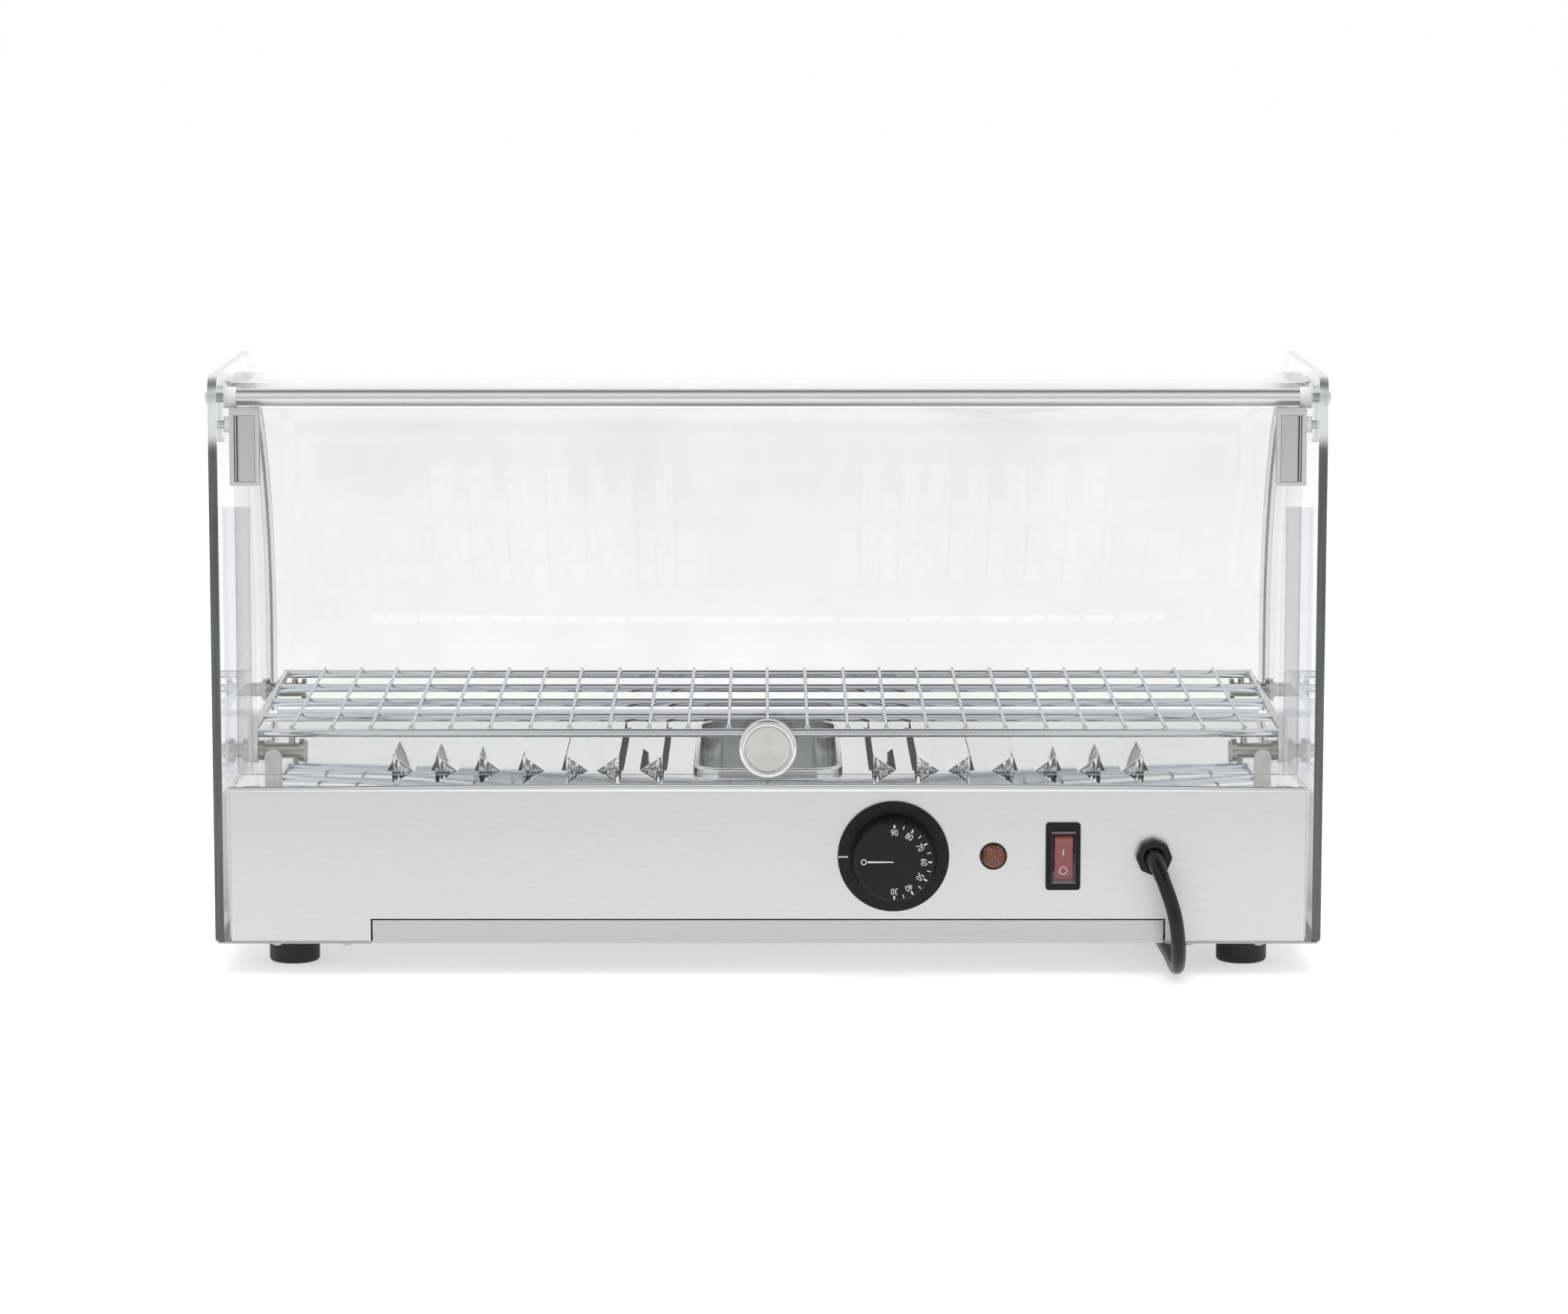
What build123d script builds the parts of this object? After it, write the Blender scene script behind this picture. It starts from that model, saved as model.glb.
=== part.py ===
from build123d import *

import math
import os

# Heated display case for a shop counter, with a curved glass front.
# Millimetres. +Z is up, +X is to the operator's right, the operator stands at -Y and the
# customer at +Y. The origin is on the counter, under the middle of the case.

os.makedirs("parts", exist_ok=True)

# Driving dimensions: the glass box
case_width = 620.0          # over the outer faces of the two side glasses
case_depth = 308.0          # depth of a side glass
side_glass_t = 5.0
glass_rise = 230.5          # top of the side glass above the deck
side_arc_r = 187.0          # large arc of the side glass, up to its front edge
side_arc_over = 13.0        # crown of that arc, above the top edge that cuts it
pane_inset = 21.0           # outer face of the curved pane, inside that arc
pane_t = 4.0
pane_rear = 50.0            # rear edge of the curved pane, from the rear edge of the glass
pane_seal = 3.0             # clear bead between the pane and each side glass
sill_seal = 2.0
rear_corner_r = 9.0
shoulder_corner_r = 17.0
foot_corner_r = 4.0

# Driving dimensions: the steel base
base_height = 89.0
foot_height = 18.0
foot_radius = 14.3
foot_inset_x = 40.0         # centre of a foot from the outer face of the side glass
foot_inset_y = 47.0
sheet = 1.0
side_gap = 2.0              # between the deck's side edge and the side glass
rear_recess = 1.5           # deck edge in front of the rear edge of the glass
front_recess = 18.0         # deck edge behind the front edge of the glass
lip_drop = 2.4
deck_bend_r = 1.4
flange_in = 12.0            # return flanges of the housing
bottom_overhang = 6.0       # bottom plate past the deck edge, to carry the side glass
plate_screw_r = 1.75
plate_screw_edge = 27.0     # outer plate screws from the deck's side edge
plate_screw_slot = 14.0     # inner plate screws from the side of the drawer slot
plate_screw_mid = 100.0     # inner plate screws at the front, from the middle
bond_l = 18.0
bond_lift = 12.0            # bonding strips above the bottom plate
bond_rear = 30.0            # rear strip from the rear edge of the glass
bond_front = 58.0           # front strip from the front edge of the glass
foot_web = 6.0              # rubber left above the recess for the foot's screw
foot_recess_r = 5.5
foot_screw_r = 2.5
foot_nut_r = 4.6
foot_nut_h = 4.0

# Driving dimensions: louvers, pan and drawer
louver_h = 8.0
louver_w = 13.0
louver_slot = 2.6
louver_start = 56.0
louver_front = 82.0         # far end of the louvers from the front edge of the glass
louver_pitch = 24.8
louver_edge = 76.0          # no ridge nearer than this to the deck's side edge
inward_louvers = 2
first_outward = 115.2       # ridge of the innermost louver that opens outwards
first_inward = 60.2         # ridge of the louver beside the pan
pan_w = 79.0
pan_l = 179.0
pan_depth = 30.0
pan_rim_h = 4.5
pan_rim_w = 3.0
pan_t = 0.8
pan_corner_r = 15.0
pan_centre = 131.0          # centre of the pan from the rear edge of the glass
pan_play = 0.5
drawer_side = 87.0          # drawer slot from the outer face of the side glass
drawer_slot_h = 13.0
drawer_front = 53.0         # length of the tray short of the glass's depth
drawer_play = 1.0
drawer_t = 0.8
drawer_lift = 0.3
runner_leg = 9.0

# Driving dimensions: door, hinges and tie tube
tube_depth = 17.0
tube_drop = 13.5            # below the top edge of the side glass
tube_radius = 5.0
tube_bore_r = 2.55
tube_bore_l = 18.0
collar_radius = 6.0
collar_l = 6.0
tie_screw_r = 2.5
dome_head_r = 5.0
dome_head_h = 3.5
hinge_plate_t = 3.5
hinge_plate_margin = 8.0
hinge_plate_h = 32.0
hinge_plate_drop = 5.5      # below the top edge of the side glass
hinge_depth = 10.0
hinge_drop = 27.9           # below the top edge of the side glass
hinge_pin_r = 2.25
pin_clearance = 0.05
running_gap = 0.3
washer_r = 4.5
door_t = 4.0
door_side_gap = 8.5         # edge of the door glass from the side glass
door_bottom = 5.8
door_over_pin = 8.8
door_hole_r = 3.0
clamp_wall = 3.0
clamp_web = 2.3
clamp_drop = 33.8           # clamp below the hinge axis
clamp_grip = 14.0           # width of glass inside the clamp
clamp_recess = 0.8
clamp_rim = 2.0
clamp_screw_r = 1.75
seal_l = 150.0
seal_t = 0.8
seal_grip = 8.0
knob_radius = 16.2
knob_rise = 23.4
knob_h = 10.0
knob_rim_w = 2.6
knob_dish = 3.0
knob_stem_r = 6.0
knob_stem_l = 10.0
knob_screw_r = 2.9
stop_radius = 5.0
stop_h = 18.5
stop_side = 27.0            # middle of a stop from the side glass
stop_gap = 1.5              # between a stop and the closed door
stop_stud_r = 2.0

# Driving dimensions: wire rack and the pins that carry it
rack_side_gap = 9.5         # end of the rack from the side glass
rack_rod_r = 2.5
rack_rods = 5
rack_near = 46.0            # nearest long rod from the rear edge of the glass
rack_front = 54.0           # farthest long rod from the front edge of the glass
rack_near_rise = 23.9
rack_far_rise = 28.5
wire_r = 1.0
wire_edge = 18.0            # no cross wire nearer than this to the rack's end
wire_pitch = 22.5
wire_bite = 0.35            # how deep a cross wire is welded into the rods
pin_radius = 4.3
pin_near_drop = 9.9         # pin's axis below the long rod that it carries
pin_far_drop = 9.5
pin_near_l = 42.0
pin_far_l = 24.0
pin_disc_r = 6.9
pin_disc_t = 3.0
pin_disc_off = 10.5         # disc face from the side glass
pin_end_r = 6.6
pin_end_t = 2.6
stud_radius = 1.9
stud_off = 35.0             # stud from the side glass on the near pins
far_stud_off = 17.0
clip_w = 5.0
clip_head_w = 7.4
clip_top = 35.5             # above the deck
clip_t = 3.0

# Driving dimensions: controls on the rear panel
controls_drop = 39.3        # below the deck
dial_side = 239.7           # from the outer face of the right side glass
dial_radius = 23.35
dial_h = 17.0
dial_flutes = 40
flute_r = 1.1
dial_skirt_h = 3.0
bezel_radius = 31.2
bezel_h = 2.5
bezel_floor = 1.0
bezel_gap = 1.0
bezel_screw_off = 14.0
bezel_screw_r = 1.5
shaft_radius = 3.0
thermostat_w = 44.0
thermostat_h = 38.0
thermostat_l = 32.0
tab_x = 12.0                # thermostat tabs from its middle
tab_w = 6.0
tab_l = 8.0
tab_t = 0.8
tab_rise = 6.0
shaft_depth = 12.0          # shaft and bore behind the panel
shaft_reach = 12.0          # shaft inside the dial
bulb_radius = 3.0
bulb_l = 90.0
capillary_r = 0.9
capillary_run = 40.0        # last bend of the thin tube before the bulb
capillary_lead = 25.0
capillary_bends = [20.0, 14.0]
lamp_side = 183.7
lamp_radius = 7.65
lamp_flange_h = 1.2
lens_rim = 1.05
lens_h = 3.2
lens_seat = 4.0
lamp_barrel_r = 6.0
lamp_l = 26.0
switch_side = 144.7
switch_w = 19.5
switch_h = 38.2
switch_frame_h = 2.2
switch_l = 26.0
frame_side = 3.05           # frame beside the clear cover
frame_end = 4.8             # frame above and below the clear cover
cover_reach = 7.0
cover_t = 0.7
rocker_side_play = 0.8
rocker_end_play = 0.4
rocker_tilt = 9.0           # each way from the middle, degrees
rocker_pivot_r = 1.5
leg_w = 6.0
leg_l = 8.0
leg_t = 0.8
leg_rise = 9.4              # middle of each leg from the middle of the switch
gland_side = 94.0
gland_across = 18.9
gland_reach = 6.0
gland_mouth_r = 5.75
gland_barrel_r = 7.6
gland_nut_r = 11.0
gland_l = 16.0
gland_nut_h = 5.0
panel_clearance = 0.2       # round every piece that passes through the rear panel

# Driving dimensions: heater and wiring
heater_radius = 4.0
heater_rise = 36.0          # tube axis above the bottom plate
heater_near = 78.0
heater_front = 94.0         # far run from the front edge of the glass
heater_side = 48.0          # ends of the element from the outer face of the side glass
bracket_w = 18.0
bracket_t = 1.5
bracket_inset = 102.0       # straps from the ends of the element
cold_pin_r = 1.5
cold_pin_l = 14.0
bracket_ear = 14.0
block_depth = 60.0          # terminal block behind the panel
block_inset = 12.0          # its middle from the end of the element
block_w = 32.0
block_l = 22.0
block_h = 16.0
block_pitch = 10.0
block_well = 8.0            # depth of the screw wells
wire_lead_r = 1.3

# Driving dimensions: mains lead
cord_radius = 4.0
coil_mean_d = 88.0
coil_layers = 2
coil_columns = 3
plug_radius = 18.5
plug_l = 30.0
plug_neck_r = 7.0
plug_neck_l = 26.0
plug_pin_r = 2.4
plug_pin_l = 19.0
plug_pin_gap = 19.0
plug_pin_seat = 18.0        # depth of the pins inside the plug

# Sizes and places that follow from the ones above
base_depth = case_depth - rear_recess - front_recess
side_arc_drop = side_arc_r - side_arc_over      # centre of both arcs, below the top edge
pane_radius = side_arc_r - pane_inset
front_arc_depth = case_depth - side_arc_r
front_arc_rise = glass_rise - side_arc_drop
louver_length = case_depth - louver_start - louver_front
drawer_w = case_width - 2 * drawer_side
drawer_depth = case_depth - drawer_front
dial_x = case_width / 2 - dial_side
lamp_x = case_width / 2 - lamp_side
switch_x = case_width / 2 - switch_side
gland_x = case_width / 2 - gland_side
lens_radius = lamp_radius - lens_rim
cover_w = switch_w - 2 * frame_side
cover_h = switch_h - 2 * frame_end
rocker_w = cover_w - 2 * (cover_t + rocker_side_play)
rocker_r = cover_h / 2 - cover_t - rocker_end_play      # from the rocker's axis to its ends
pin_near_rise = rack_near_rise - pin_near_drop
pin_far_rise = rack_far_rise - pin_far_drop
rack_span = case_depth - rack_near - rack_front
heater_far = case_depth - heater_front
heater_half = case_width / 2 - heater_side
bracket_x = heater_half - bracket_inset
deck_z = foot_height + base_height
floor_z = foot_height + sheet
inner_x = case_width / 2 - side_glass_t
deck_half = inner_x - side_gap
outward_louvers = 1 + int((deck_half - louver_edge - first_outward) / louver_pitch)
rack_w = 2 * (inner_x - rack_side_gap)
wire_count = 1 + 2 * int((rack_w / 2 - wire_edge) / wire_pitch)
stop_x = inner_x - stop_side
stop_depth = hinge_depth + door_t / 2 + stop_gap + stop_radius
wall_half = deck_half - sheet
panel_depth = rear_recess + sheet
rear_reach = dial_h + bezel_h - panel_depth
rear_y = (rear_reach - case_depth) / 2
panel_y = rear_y + panel_depth
panel_in_y = panel_y + sheet
deck_rear_y = rear_y + rear_recess
deck_front_y = deck_rear_y + base_depth
control_z = deck_z - controls_drop
hinge_y = rear_y + hinge_depth
hinge_z = deck_z + glass_rise - hinge_drop
tube_y = rear_y + tube_depth
tube_z = deck_z + glass_rise - tube_drop
door_y = hinge_y - door_t / 2
door_half = inner_x - door_side_gap
door_top_z = hinge_z + door_over_pin
knob_z = deck_z + knob_rise
near_y = rear_y + rack_near
far_y = near_y + rack_span
pan_y = rear_y + pan_centre
heater_z = floor_z + heater_rise


def save(node, *pieces):
    """Write the solids of one sub-part as parts/NODE.step."""
    solids = [solid for piece in pieces for solid in piece.solids()]
    export_step(Compound(label=node, children=solids), f"parts/{node}.step")
    print(node, len(solids))


def block(x, y, z):
    """A box from its three ranges."""
    size = Box(abs(x[1] - x[0]), abs(y[1] - y[0]), abs(z[1] - z[0]))
    return Pos((x[0] + x[1]) / 2, (y[0] + y[1]) / 2, (z[0] + z[1]) / 2) * size


def rod_x(x0, x1, y, z, radius):
    return Pos((x0 + x1) / 2, y, z) * Rot(0, 90, 0) * Cylinder(radius, abs(x1 - x0))


def rod_y(x, y0, y1, z, radius):
    return Pos(x, (y0 + y1) / 2, z) * Rot(90, 0, 0) * Cylinder(radius, abs(y1 - y0))


def rod_z(x, y, z0, z1, radius):
    return Pos(x, y, (z0 + z1) / 2) * Cylinder(radius, abs(z1 - z0))


def twin(piece):
    """The same piece on the other side of the case."""
    return mirror(piece, about=Plane.YZ)


def across(profile, x0, x1):
    """A profile drawn in Y and Z, carried from x0 to x1."""
    return extrude(Plane.YZ.offset(x0) * profile, amount=x1 - x0)


def upright(x0, x1, y0, y1, radius, z0, z1):
    """A rounded rectangle seen from above, carried from z0 to z1."""
    face = Pos((x0 + x1) / 2, (y0 + y1) / 2) * RectangleRounded(x1 - x0, y1 - y0, radius)
    return extrude(Plane.XY.offset(z0) * face, amount=z1 - z0)


def corner(face, y, z):
    """The vertex of a flat profile that lies nearest to a point."""
    return min(face.vertices(), key=lambda v: (v.X - y) ** 2 + (v.Y - z) ** 2)


def dome(x, y, z, radius, height, turn):
    """A low domed screw head whose flat side lies at the point, turned to face away."""
    ball_r = (radius ** 2 + height ** 2) / (2 * height)
    cap = Pos(0, 0, height - ball_r) * Sphere(ball_r)
    return Pos(x, y, z) * turn * (cap & Pos(0, 0, height / 2) * Cylinder(radius, height))


# Glass box

def side_glass():
    """Flat side glass: square at the back, one large arc at the front."""
    top_z = deck_z + glass_rise
    front_y = rear_y + case_depth
    arc_y = rear_y + front_arc_depth
    arc_z = deck_z + front_arc_rise
    shoulder = math.asin(side_arc_drop / side_arc_r)
    shoulder_y = arc_y + side_arc_r * math.cos(shoulder)
    middle = (arc_y + side_arc_r * math.cos(shoulder / 2),
              arc_z + side_arc_r * math.sin(shoulder / 2))
    lines = Polyline((front_y, arc_z), (front_y, floor_z), (rear_y, floor_z), (rear_y, top_z),
                     (shoulder_y, top_z))
    face = make_face(lines + ThreePointArc((shoulder_y, top_z), middle, (front_y, arc_z)))
    for y, z, r in ((rear_y, top_z, rear_corner_r), (shoulder_y, top_z, shoulder_corner_r),
                    (rear_y, floor_z, foot_corner_r), (front_y, floor_z, foot_corner_r)):
        face = fillet(corner(face, y, z), r)
    pane = across(face, inner_x, inner_x + side_glass_t)
    hole = rod_x(inner_x - 1, inner_x + side_glass_t + 1, tube_y, tube_z, tie_screw_r + 0.5)
    return pane - hole


def curved_band(grow):
    """Section of the curved front: level roof, quarter arc and upright front."""
    outer = pane_radius + grow
    inner = pane_radius - pane_t - grow
    arc_y = rear_y + front_arc_depth
    arc_z = deck_z + front_arc_rise
    ring = Circle(outer) - Circle(inner)
    quarter = Pos(arc_y, arc_z) * (ring & Pos(outer / 2, outer / 2) * Rectangle(outer, outer))
    roof_l = front_arc_depth - pane_rear + grow
    roof = Pos(arc_y - roof_l / 2, arc_z + (outer + inner) / 2) * Rectangle(roof_l, outer - inner)
    front_h = front_arc_rise - sill_seal
    front = Pos(arc_y + (outer + inner) / 2, arc_z - front_h / 2) * Rectangle(outer - inner, front_h)
    return quarter + roof + front


def front_glass():
    return across(curved_band(0), -inner_x + pane_seal, inner_x - pane_seal)


def pane_bead():
    """Clear bead that joins the curved pane to one side glass."""
    return across(curved_band(0.8), inner_x - pane_seal, inner_x)


def sill_strip():
    """Clear strip under the lower edge of the curved pane."""
    y1 = rear_y + front_arc_depth + pane_radius
    return block((-inner_x + pane_seal, inner_x - pane_seal), (y1 - pane_t - 1, y1 + 1),
                 (deck_z, deck_z + sill_seal))


def base_bond():
    """Bonding strips between the end wall of the base and one side glass."""
    z0, z1 = floor_z + bond_lift, deck_z - lip_drop - bond_lift / 2
    first, last = rear_y + bond_rear, rear_y + case_depth - bond_front
    return [block((wall_half, inner_x), (y, y + bond_l), (z0, z1))
            for y in (first, (first + last) / 2, last)]


# Steel base

def louver_form(ridge, side, height, width, start, length):
    """Louver hood as a solid: a curved slope from its ridge, cut by two sloping ends.

    side is +1 where the hood slopes down towards +X and -1 where it slopes towards -X.
    """
    bulge = 0.12 * math.hypot(height, width)
    mid = (width / 2 + bulge * height / width, height / 2 + bulge)
    section = make_face(Line((0, 0), (0, height)) + ThreePointArc((0, height), mid, (width, 0))
                        + Line((width, 0), (0, 0)))
    slope = extrude(Plane.XZ * section, amount=-length)
    ends = Polyline((0, 0), (height, height), (length - height, height), (length, 0), close=True)
    cut = extrude(Plane.YZ * make_face(ends), amount=width)
    hood = slope & cut
    if side < 0:
        hood = mirror(hood, about=Plane.YZ)
    return Pos(ridge, rear_y + start, deck_z) * hood


def louver_rows():
    """Ridge place and slope side of every louver; the outer ones open outwards."""
    rows = [(first_outward + i * louver_pitch, -1) for i in range(outward_louvers)]
    rows += [(first_inward + i * louver_pitch, 1) for i in range(inward_louvers)]
    return rows + [(-x, -side) for x, side in rows]


def pan_hole_half():
    return pan_w / 2 + pan_t + pan_play, pan_l / 2 + pan_t + pan_play


def deck_plate():
    """Polished deck with turned-down lips, louvers and the hole for the water pan."""
    outer = block((-deck_half, deck_half), (deck_rear_y, deck_front_y), (deck_z - lip_drop, deck_z))
    rims = [e for e in outer.edges() if e.center().Z > deck_z - 0.01]
    outer = fillet(rims, deck_bend_r)
    inside = block((-wall_half, wall_half), (panel_y, deck_front_y - sheet),
                   (deck_z - lip_drop - 1, deck_z - sheet))
    deck = outer - inside
    half_w, half_l = pan_hole_half()
    deck -= upright(-half_w, half_w, pan_y - half_l, pan_y + half_l, pan_corner_r + pan_t,
                    deck_z - sheet - 1, deck_z + 1)
    skin = sheet * 0.8
    for ridge, side in louver_rows():
        deck += louver_form(ridge, side, louver_h, louver_w, louver_start, louver_length)
    for ridge, side in louver_rows():
        inner = louver_form(ridge, side, louver_h - skin, louver_w - 2 * skin,
                            louver_start + skin, louver_length - 2 * skin)
        y0 = rear_y + louver_start + 2 * skin
        y1 = rear_y + louver_start + louver_length - 2 * skin
        slot = block((ridge - side * louver_slot, ridge + side * (louver_w - 4 * skin)), (y0, y1),
                     (deck_z - sheet - 1, deck_z))
        deck = deck - inner - slot
    for x in (-stop_x, stop_x):
        deck -= rod_z(x, rear_y + stop_depth, deck_z - sheet - 1, deck_z + 1,
                      stop_stud_r + panel_clearance)
    for side in (-1, 1):
        relief = block((side * (deck_half - 1.4), side * deck_half), (deck_rear_y, panel_y),
                       (deck_z - lip_drop, deck_z - 0.6))
        deck -= relief
    return deck


def panel_hole(x, radius):
    return rod_y(x, panel_y - 1, panel_in_y + 1, control_z, radius + panel_clearance)


def base_housing():
    """Brushed wrap of the base: control panel, end walls and front wall, with return flanges."""
    y0, y1 = panel_y, deck_front_y - sheet
    z0, z1 = floor_z, deck_z - sheet
    wrap = upright(-wall_half, wall_half, y0, y1, 2.0, z0, z1)
    wrap -= upright(-wall_half + sheet, wall_half - sheet, y0 + sheet, y1 - sheet, 1.0,
                    z0 + sheet, z1 - sheet)
    wrap -= upright(-wall_half + flange_in, wall_half - flange_in, y0 + flange_in,
                    y1 - flange_in, 3.0, z0 - 1, z1 + 1)
    wrap -= block((-drawer_w / 2, drawer_w / 2), (y0 - 1, y0 + flange_in + 1),
                  (z0 - 1, z0 + drawer_slot_h))
    wrap -= panel_hole(dial_x, shaft_radius + 2)
    wrap -= panel_hole(lamp_x, lamp_barrel_r)
    wrap -= panel_hole(gland_x, gland_barrel_r)
    half_w, half_h = switch_body_half()
    wrap -= block((switch_x - half_w - panel_clearance, switch_x + half_w + panel_clearance),
                  (y0 - 1, y0 + sheet + 1),
                  (control_z - half_h - panel_clearance, control_z + half_h + panel_clearance))
    for x, y in bottom_screw_places():
        wrap -= rod_z(x, y, z0 - 1, z0 + sheet + 1, plate_screw_r)
    return wrap


def bottom_screw_places():
    """Screws that hold the bottom plate to the housing's lower flange."""
    near_y_row = panel_y + flange_in / 2
    far_y_row = deck_front_y - sheet - flange_in / 2
    outer_x = deck_half - plate_screw_edge
    near_x = drawer_w / 2 + plate_screw_slot
    near = [(side * x, near_y_row) for x in (outer_x, near_x) for side in (-1, 1)]
    far = [(side * x, far_y_row) for x in (outer_x, plate_screw_mid) for side in (-1, 1)]
    return near + far


def feet_places():
    x = case_width / 2 - foot_inset_x
    y0 = rear_y + foot_inset_y
    y1 = deck_front_y - (foot_inset_y - rear_recess)
    return [(-x, y0), (x, y0), (-x, y1), (x, y1)]


def bottom_plate():
    """Plate under the base; its long sides carry the side glasses."""
    half = deck_half + bottom_overhang
    plate = block((-half, half), (deck_rear_y, deck_front_y), (foot_height, floor_z))
    plate = fillet(plate.edges().filter_by(Axis.Z), 2.0)
    plate -= block((-drawer_w / 2, drawer_w / 2), (deck_rear_y - 1, panel_in_y + 3),
                   (foot_height - 1, floor_z + 1))
    for x, y in bottom_screw_places():
        plate -= rod_z(x, y, foot_height - 1, floor_z + 1, plate_screw_r + panel_clearance)
    for x, y in feet_places():
        plate -= rod_z(x, y, foot_height - 1, floor_z + 1, foot_screw_r + panel_clearance)
    return plate


def bottom_screws():
    screws = []
    for x, y in bottom_screw_places():
        shank = rod_z(x, y, foot_height, floor_z + sheet + 3, plate_screw_r - pin_clearance)
        screws.append(shank + dome(x, y, foot_height, 4.0, 2.4, Rot(180, 0, 0)))
    return screws


def rubber_foot(x, y):
    """Moulded foot with a rounded tread and a deep hole for its screw."""
    foot = rod_z(x, y, 0, foot_height, foot_radius)
    foot = fillet(foot.edges().sort_by(Axis.Z)[0], 2.2)
    foot -= rod_z(x, y, -1, foot_height - foot_web, foot_recess_r)
    return foot - rod_z(x, y, foot_height - foot_web - 1, foot_height + 1,
                        foot_screw_r + panel_clearance)


def foot_screw(x, y):
    under = foot_height - foot_web
    head = dome(x, y, under, foot_recess_r - 0.9, 3.0, Rot(180, 0, 0))
    shank = rod_z(x, y, under, floor_z + foot_nut_h + 2, foot_screw_r)
    nut = extrude(Plane.XY.offset(floor_z) * Pos(x, y) * RegularPolygon(foot_nut_r, 6),
                  amount=foot_nut_h)
    bore = rod_z(x, y, floor_z - 1, floor_z + foot_nut_h + 1, foot_screw_r + pin_clearance)
    return [head + shank, nut - bore]


def water_pan():
    """Lift-out humidity pan with a rounded rim that stands on the deck."""
    half_w, half_l = pan_w / 2, pan_l / 2
    rim_w, rim_l = half_w + pan_rim_w, half_l + pan_rim_w
    z0 = deck_z - pan_depth
    body = upright(-half_w - pan_t, half_w + pan_t, pan_y - half_l - pan_t,
                   pan_y + half_l + pan_t, pan_corner_r + pan_t, z0, deck_z + 1)
    body = fillet(body.edges().group_by(Axis.Z)[0], 5 + pan_t)
    rim = upright(-rim_w, rim_w, pan_y - rim_l, pan_y + rim_l, pan_corner_r + pan_rim_w,
                  deck_z, deck_z + pan_rim_h)
    rim = fillet(rim.edges().group_by(Axis.Z)[-1], 2.0)
    cavity = upright(-half_w, half_w, pan_y - half_l, pan_y + half_l, pan_corner_r,
                     z0 + pan_t, deck_z + pan_rim_h + 1)
    cavity = fillet(cavity.edges().group_by(Axis.Z)[0], 5)
    return body + rim - cavity


def drawer_half():
    return drawer_w / 2 - drawer_play


def crumb_drawer():
    """Shallow crumb tray with a plain front strip."""
    half = drawer_half()
    z0 = floor_z + drawer_lift
    z1 = floor_z + drawer_slot_h - drawer_play
    y0 = panel_y + 1
    tray = block((-half, half), (y0, y0 + drawer_depth), (z0, z1))
    tray -= block((-half + drawer_t, half - drawer_t), (y0 + drawer_t, y0 + drawer_depth - drawer_t),
                  (z0 + drawer_t, z1 + 1))
    front = block((-half, half), (y0, y0 + drawer_t), (foot_height, z1))
    hem = block((-half, half), (y0, y0 + 5), (z1 - drawer_t, z1))
    return tray + front + hem


def drawer_runner():
    """Angle on the bottom plate that guides one side of the crumb drawer."""
    x0 = drawer_w / 2
    y0, y1 = panel_in_y + flange_in + 2, panel_in_y + drawer_depth
    leg = block((x0, x0 + sheet), (y0, y1), (floor_z, floor_z + drawer_slot_h))
    toe = block((x0, x0 + runner_leg), (y0, y1), (floor_z, floor_z + sheet))
    return leg + toe


# Tie tube, hinge plates and door

def plate_in_x():
    return inner_x - hinge_plate_t


def hinge_plate():
    """Clear plate against the side glass: tie screw above, hinge pin below."""
    y0 = hinge_y - hinge_plate_margin + 1
    y1 = tube_y + hinge_plate_margin
    z1 = deck_z + glass_rise - hinge_plate_drop
    face = Pos((y0 + y1) / 2, z1 - hinge_plate_h / 2) * RectangleRounded(y1 - y0, hinge_plate_h, 4)
    plate = across(face, plate_in_x(), inner_x)
    plate -= rod_x(plate_in_x() - 1, inner_x + 1, tube_y, tube_z, tie_screw_r + 0.5)
    return plate - rod_x(plate_in_x() - 1, inner_x + 1, hinge_y, hinge_z, hinge_pin_r + pin_clearance)


def tube_half():
    return plate_in_x() - collar_l


def tie_tube():
    half = tube_half()
    tube = rod_x(-half, half, tube_y, tube_z, tube_radius)
    for side in (-1, 1):
        tube -= rod_x(side * (half - tube_bore_l), side * (half + 1), tube_y, tube_z, tube_bore_r)
    return tube


def tube_collar():
    ring = rod_x(tube_half(), plate_in_x(), tube_y, tube_z, collar_radius)
    return ring - rod_x(tube_half() - 1, plate_in_x() + 1, tube_y, tube_z, tube_bore_r + 0.4)


def tie_screw():
    """Domed screw through the side glass, hinge plate and collar into the tube."""
    outside = inner_x + side_glass_t
    shank = rod_x(tube_half() - tube_bore_l + 4, outside, tube_y, tube_z, tie_screw_r)
    return shank + dome(outside, tube_y, tube_z, dome_head_r, dome_head_h, Rot(0, 90, 0))


def clamp_head_r():
    """Top of a clamp is an arc about the hinge, so it clears the collar as the door turns."""
    reach = math.hypot(tube_y - hinge_y, tube_z - hinge_z)
    return reach - collar_radius - running_gap


def clamp_outline():
    half = door_t / 2 + clamp_wall
    long = Pos(hinge_y, hinge_z - clamp_drop / 2) * Rectangle(2 * half, clamp_drop)
    head = Pos(hinge_y, hinge_z) * (Circle(clamp_head_r()) & Rectangle(2 * half, 40))
    return long + head


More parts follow.
